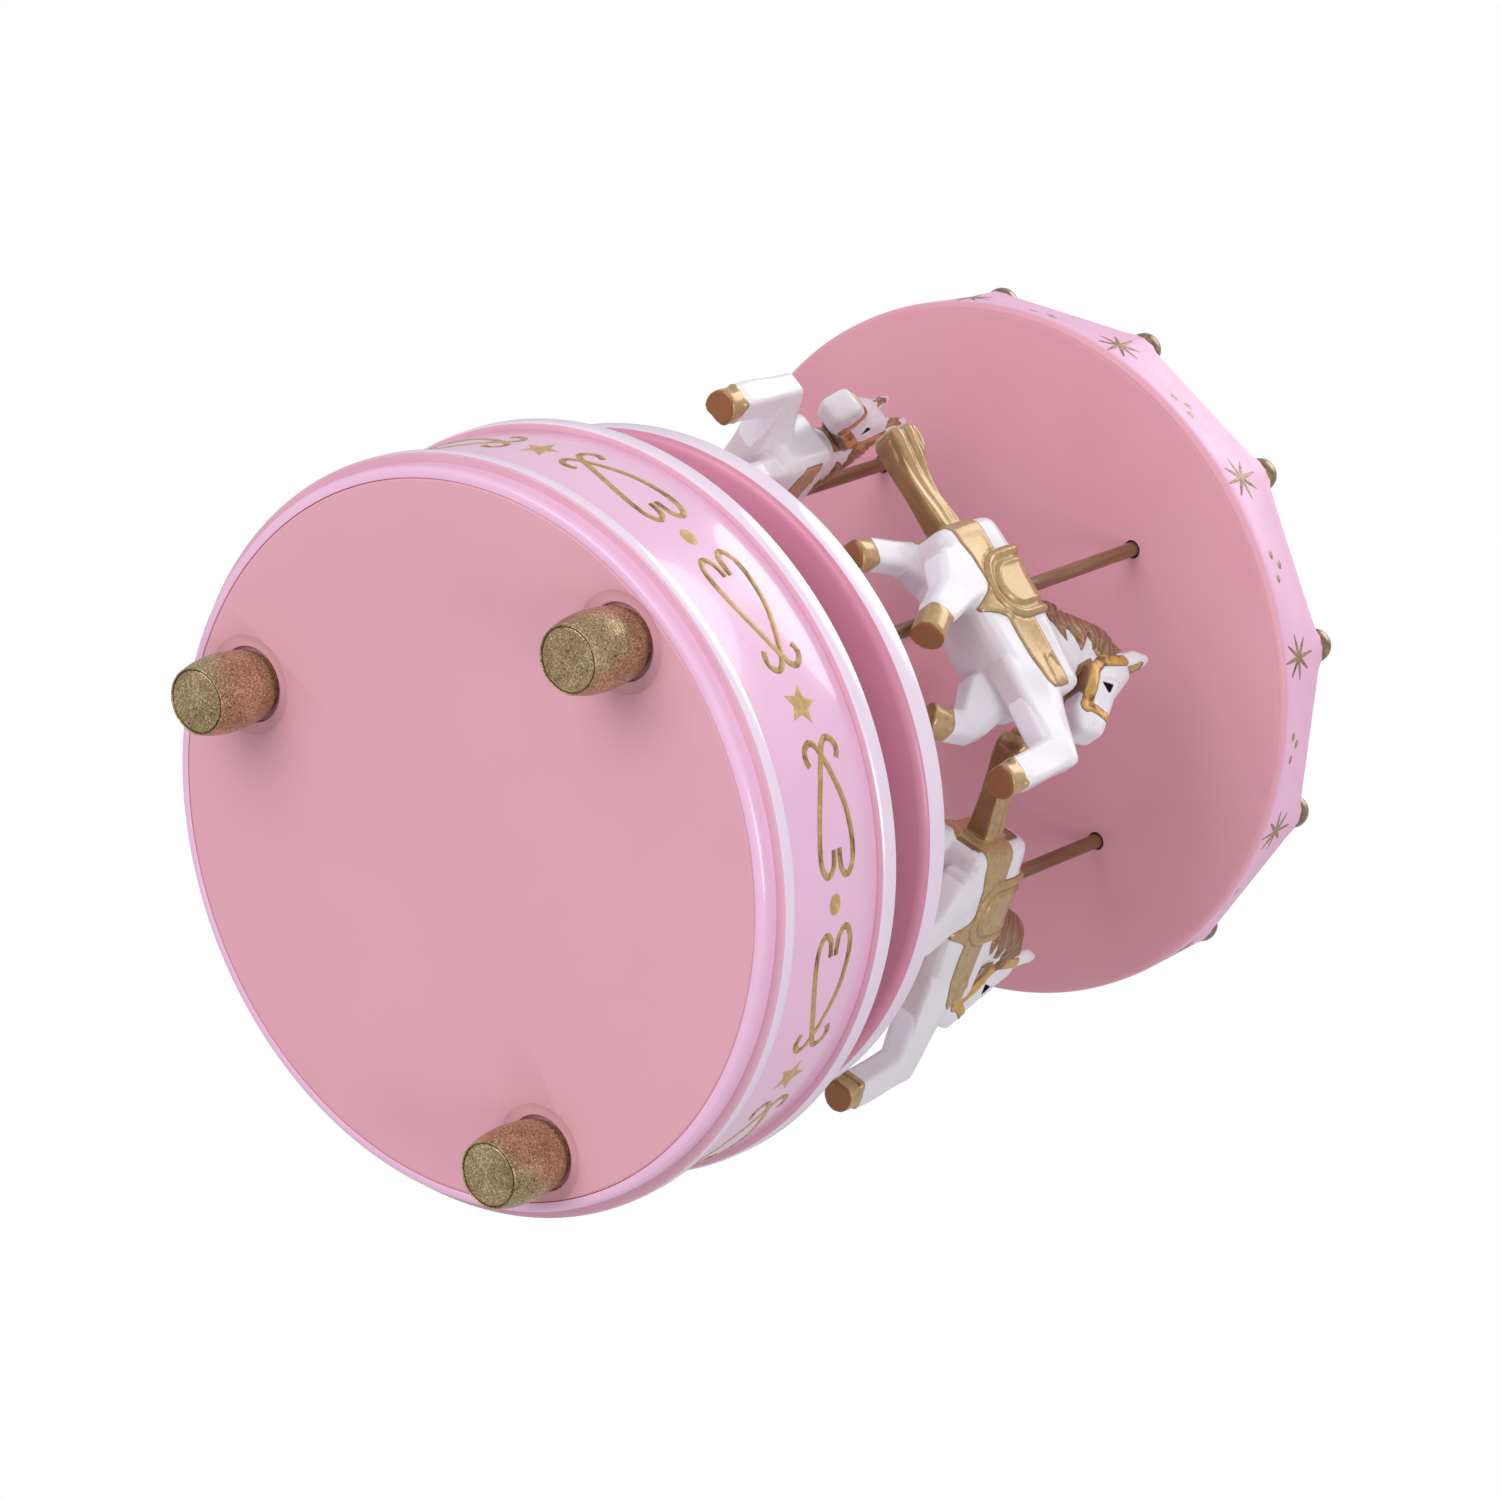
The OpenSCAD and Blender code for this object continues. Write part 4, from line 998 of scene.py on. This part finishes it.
# --- Roof: a moulded tent of twelve gores, sprayed orchid and white by turns, with a raised rib on each
# seam where the cloth of a real tent would sag between its ropes. It sits on the hoop.
roof_white = gloss("roof_white_gloss", ((0.82, 0.79, 0.84), (0.86, 0.83, 0.87), (0.89, 0.86, 0.9)))
EAVE = 49.1
EAVE_HEIGHT = 132.35
SAG = 0.9
bpy.ops.object.select_all(action='DESELECT')
bpy.ops.mesh.primitive_circle_add(vertices=12, radius=EAVE * MM, location=(0, 0, EAVE_HEIGHT * MM))
bpy.ops.object.transform_apply(location=True, rotation=False, scale=False)
tent = bpy.context.object
tent.name = "moulded_roof"
bpy.ops.object.mode_set(mode='EDIT')
bpy.ops.mesh.select_all(action='SELECT')
bpy.ops.mesh.subdivide(number_cuts=7)
was = (EAVE, EAVE_HEIGHT)
slope_rings = ((EAVE, 132.75), (46.6, 133.6), (42.0, 135.2), (36.0, 137.4), (30.0, 140.1), (24.0, 143.3),
               (18.5, 146.8), (13.5, 150.6), (9.5, 154.2), (6.8, 157.0), (5.0, 158.8))
for radius, height in slope_rings:
    narrower = radius / was[0]
    bpy.ops.mesh.extrude_edges_move(TRANSFORM_OT_translate={"value": (0, 0, (height - was[1]) * MM)})
    bpy.ops.transform.resize(value=(narrower, narrower, 1), center_override=(0, 0, height * MM))
    was = (radius, height)
bpy.ops.object.mode_set(mode='OBJECT')
shell = tent.modifiers.new("shell", 'SOLIDIFY')
shell.thickness = 2.0 * MM
shell.offset = -1
bpy.ops.object.modifier_apply(modifier="shell")
bpy.ops.object.mode_set(mode='EDIT')
bpy.ops.mesh.select_all(action='SELECT')
bpy.ops.mesh.normals_make_consistent(inside=False)
bpy.ops.object.mode_set(mode='OBJECT')
for corner in tent.data.vertices:
    far = hypot(corner.co.x, corner.co.y) / MM
    off = from_corner(np.arctan2(corner.co.y, corner.co.x))
    if 8 < far < 49.5:
        sag = SAG * (1 - cos(off * 6) ** 2)
        corner.co.z -= sag * MM * min(1, (far - 8) / 20) * min(1, (49.5 - far) / 6)
bpy.ops.object.shade_smooth_by_angle(angle=radians(24))
tent.data.materials.append(roof_white)
tent.data.materials.append(orchid)
for face in tent.data.polygons:
    gore = int(((np.arctan2(face.center.y, face.center.x) / (2 * pi)) % 1) * 12)
    face.material_index = gore % 2
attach(tent, "carousel")
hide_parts("canopy_roof")

# --- Beads, collar and finial: gilt trim of the roof. The beads sit in the eave, the collar hides the
# seam of the gores, and the finial is screwed down on the tie rod.
trim_gold, nt, shader = finish("trim_gold", metallic=0.6, coat=0.2, coat_rough=0.25)
fleck = noise(nt, 1100, 4, 0.65)
flecked = ramp(nt, fleck, ((0.28, (0.16, 0.105, 0.06)), (0.5, (0.29, 0.20, 0.12)),
                           (0.72, (0.46, 0.34, 0.2))))
nt.links.new(flecked, shader.inputs["Base Color"])
nt.links.new(spread(nt, fleck, 0.28, 0.42), shader.inputs["Roughness"])
grain(nt, shader, noise(nt, 1800, 3), 0.4, 0.06)
BEAD = 2.35
BEAD_RING = 47.1
BEAD_HEIGHT = 133.9


def ball(radius, height, start, stop):
    """Rings of part of a ball, from one slope to another in steps of 8 degrees."""
    slopes = [radians(slope) for slope in range(start, stop, 8)]
    return [(radius * cos(slope), height + radius * sin(slope)) for slope in slopes]


bead = lathe("gilt_beads", [(0.35, -2.32)] + ball(BEAD, 0, -72, 80) + [(0.35, 2.32)], 40, 0)
beads = [bead]
for turn in range(1, 12):
    pick(bead)
    bpy.ops.object.duplicate(linked=False)
    beads.append(bpy.context.object)
for turn, each in enumerate(beads):
    angle = radians(30 * turn)
    each.location = (BEAD_RING * cos(angle) * MM, BEAD_RING * sin(angle) * MM, BEAD_HEIGHT * MM)
pick(*beads)
bpy.ops.object.transform_apply(location=True, rotation=False, scale=False)
bpy.ops.object.join()
dress(bead, trim_gold)
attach(bead, "carousel")
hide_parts("roof_beads")
SLEEVE = 1.6
cap = [(SLEEVE, 158.9), (5.6, 158.9), (5.95, 159.3), (6.0, 159.7), (5.8, 160.2), (5.3, 160.5), (4.4, 160.8)]
stem = [(3.9, 161.3), (3.65, 161.9), (3.7, 162.4), (4.0, 162.7), (4.0, 162.9), (SLEEVE, 162.9),
        (SLEEVE, 158.9)]
collar = lathe("gilt_collar", cap + stem, 96, 0)
dress(collar, trim_gold)
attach(collar, "carousel")
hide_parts("roof_collar")
socket = [(2.0, 162.95), (3.2, 162.95), (3.4, 163.3), (3.3, 163.7), (2.4, 164.1), (1.95, 164.6),
          (1.9, 165.1)]
spike = [(1.35, 171.9), (1.3, 172.6), (1.6, 173.2), (1.55, 173.6), (1.1, 174.2), (0.8, 175.4), (0.5, 176.7),
         (0.3, 177.3)]
knob = lathe("gilt_finial", socket + ball(3.6, 168.55, -56, 66) + spike, 64, 0)
dress(knob, trim_gold)
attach(knob, "carousel")
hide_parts("finial")

# --- Movement and fixings: the spring motor, comb, pinned cylinder and air brake inside the base keep
# their own shapes, in brass, blued spring steel, ground steel and nylon.
def metal_finish(name, tints, rough, scale=500, squeeze=(1, 1, 1)):
    """Bare metal with fine tool lines between two tints."""
    paint, nt, shader = finish(name, metallic=1.0)
    lines = noise(nt, scale, 4, 0.6, squeeze)
    nt.links.new(ramp(nt, lines, ((0.3, tints[0]), (0.7, tints[1]))), shader.inputs["Base Color"])
    nt.links.new(spread(nt, lines, rough[0], rough[1]), shader.inputs["Roughness"])
    grain(nt, shader, lines, 0.2, 0.02)
    return paint


ALONG_Z = (1, 1, 0.1)
ALONG_X = (0.1, 1, 1)
brass = metal_finish("machined_brass", ((0.62, 0.45, 0.16), (0.80, 0.62, 0.27)), (0.22, 0.36))
steel = metal_finish("turned_steel", ((0.5, 0.5, 0.52), (0.66, 0.66, 0.68)), (0.22, 0.34), 900)
nickel = metal_finish("nickel_plate", ((0.58, 0.57, 0.54), (0.7, 0.69, 0.66)), (0.15, 0.28), 200)
blued = metal_finish("blued_spring", ((0.08, 0.1, 0.16), (0.16, 0.18, 0.26)), (0.2, 0.32), 700, ALONG_Z)
ground = metal_finish("ground_comb_steel", ((0.48, 0.49, 0.51), (0.64, 0.65, 0.67)), (0.25, 0.4), 1500,
                      ALONG_X)
nylon, nt, shader = finish("moulded_nylon", coat=0.05)
moulded = ramp(nt, noise(nt, 500), ((0.3, (0.05, 0.05, 0.055)), (0.7, (0.09, 0.09, 0.1))))
nt.links.new(moulded, shader.inputs["Base Color"])
nt.links.new(spread(nt, noise(nt, 1500), 0.45, 0.6), shader.inputs["Roughness"])
finishes = {"brass": brass, "screw_steel": steel, "housing_steel": nickel, "spring_steel": blued,
            "comb_steel": ground, "fan_plastic": nylon, "socket_white": roof_white}
slots = {part["node"]: part["material_slot"] for part in frame["record"]["subparts"]}
for node_name, node in frame["nodes"].items():
    paint = finishes.get(slots[node_name])
    if paint:
        dress(node, paint)
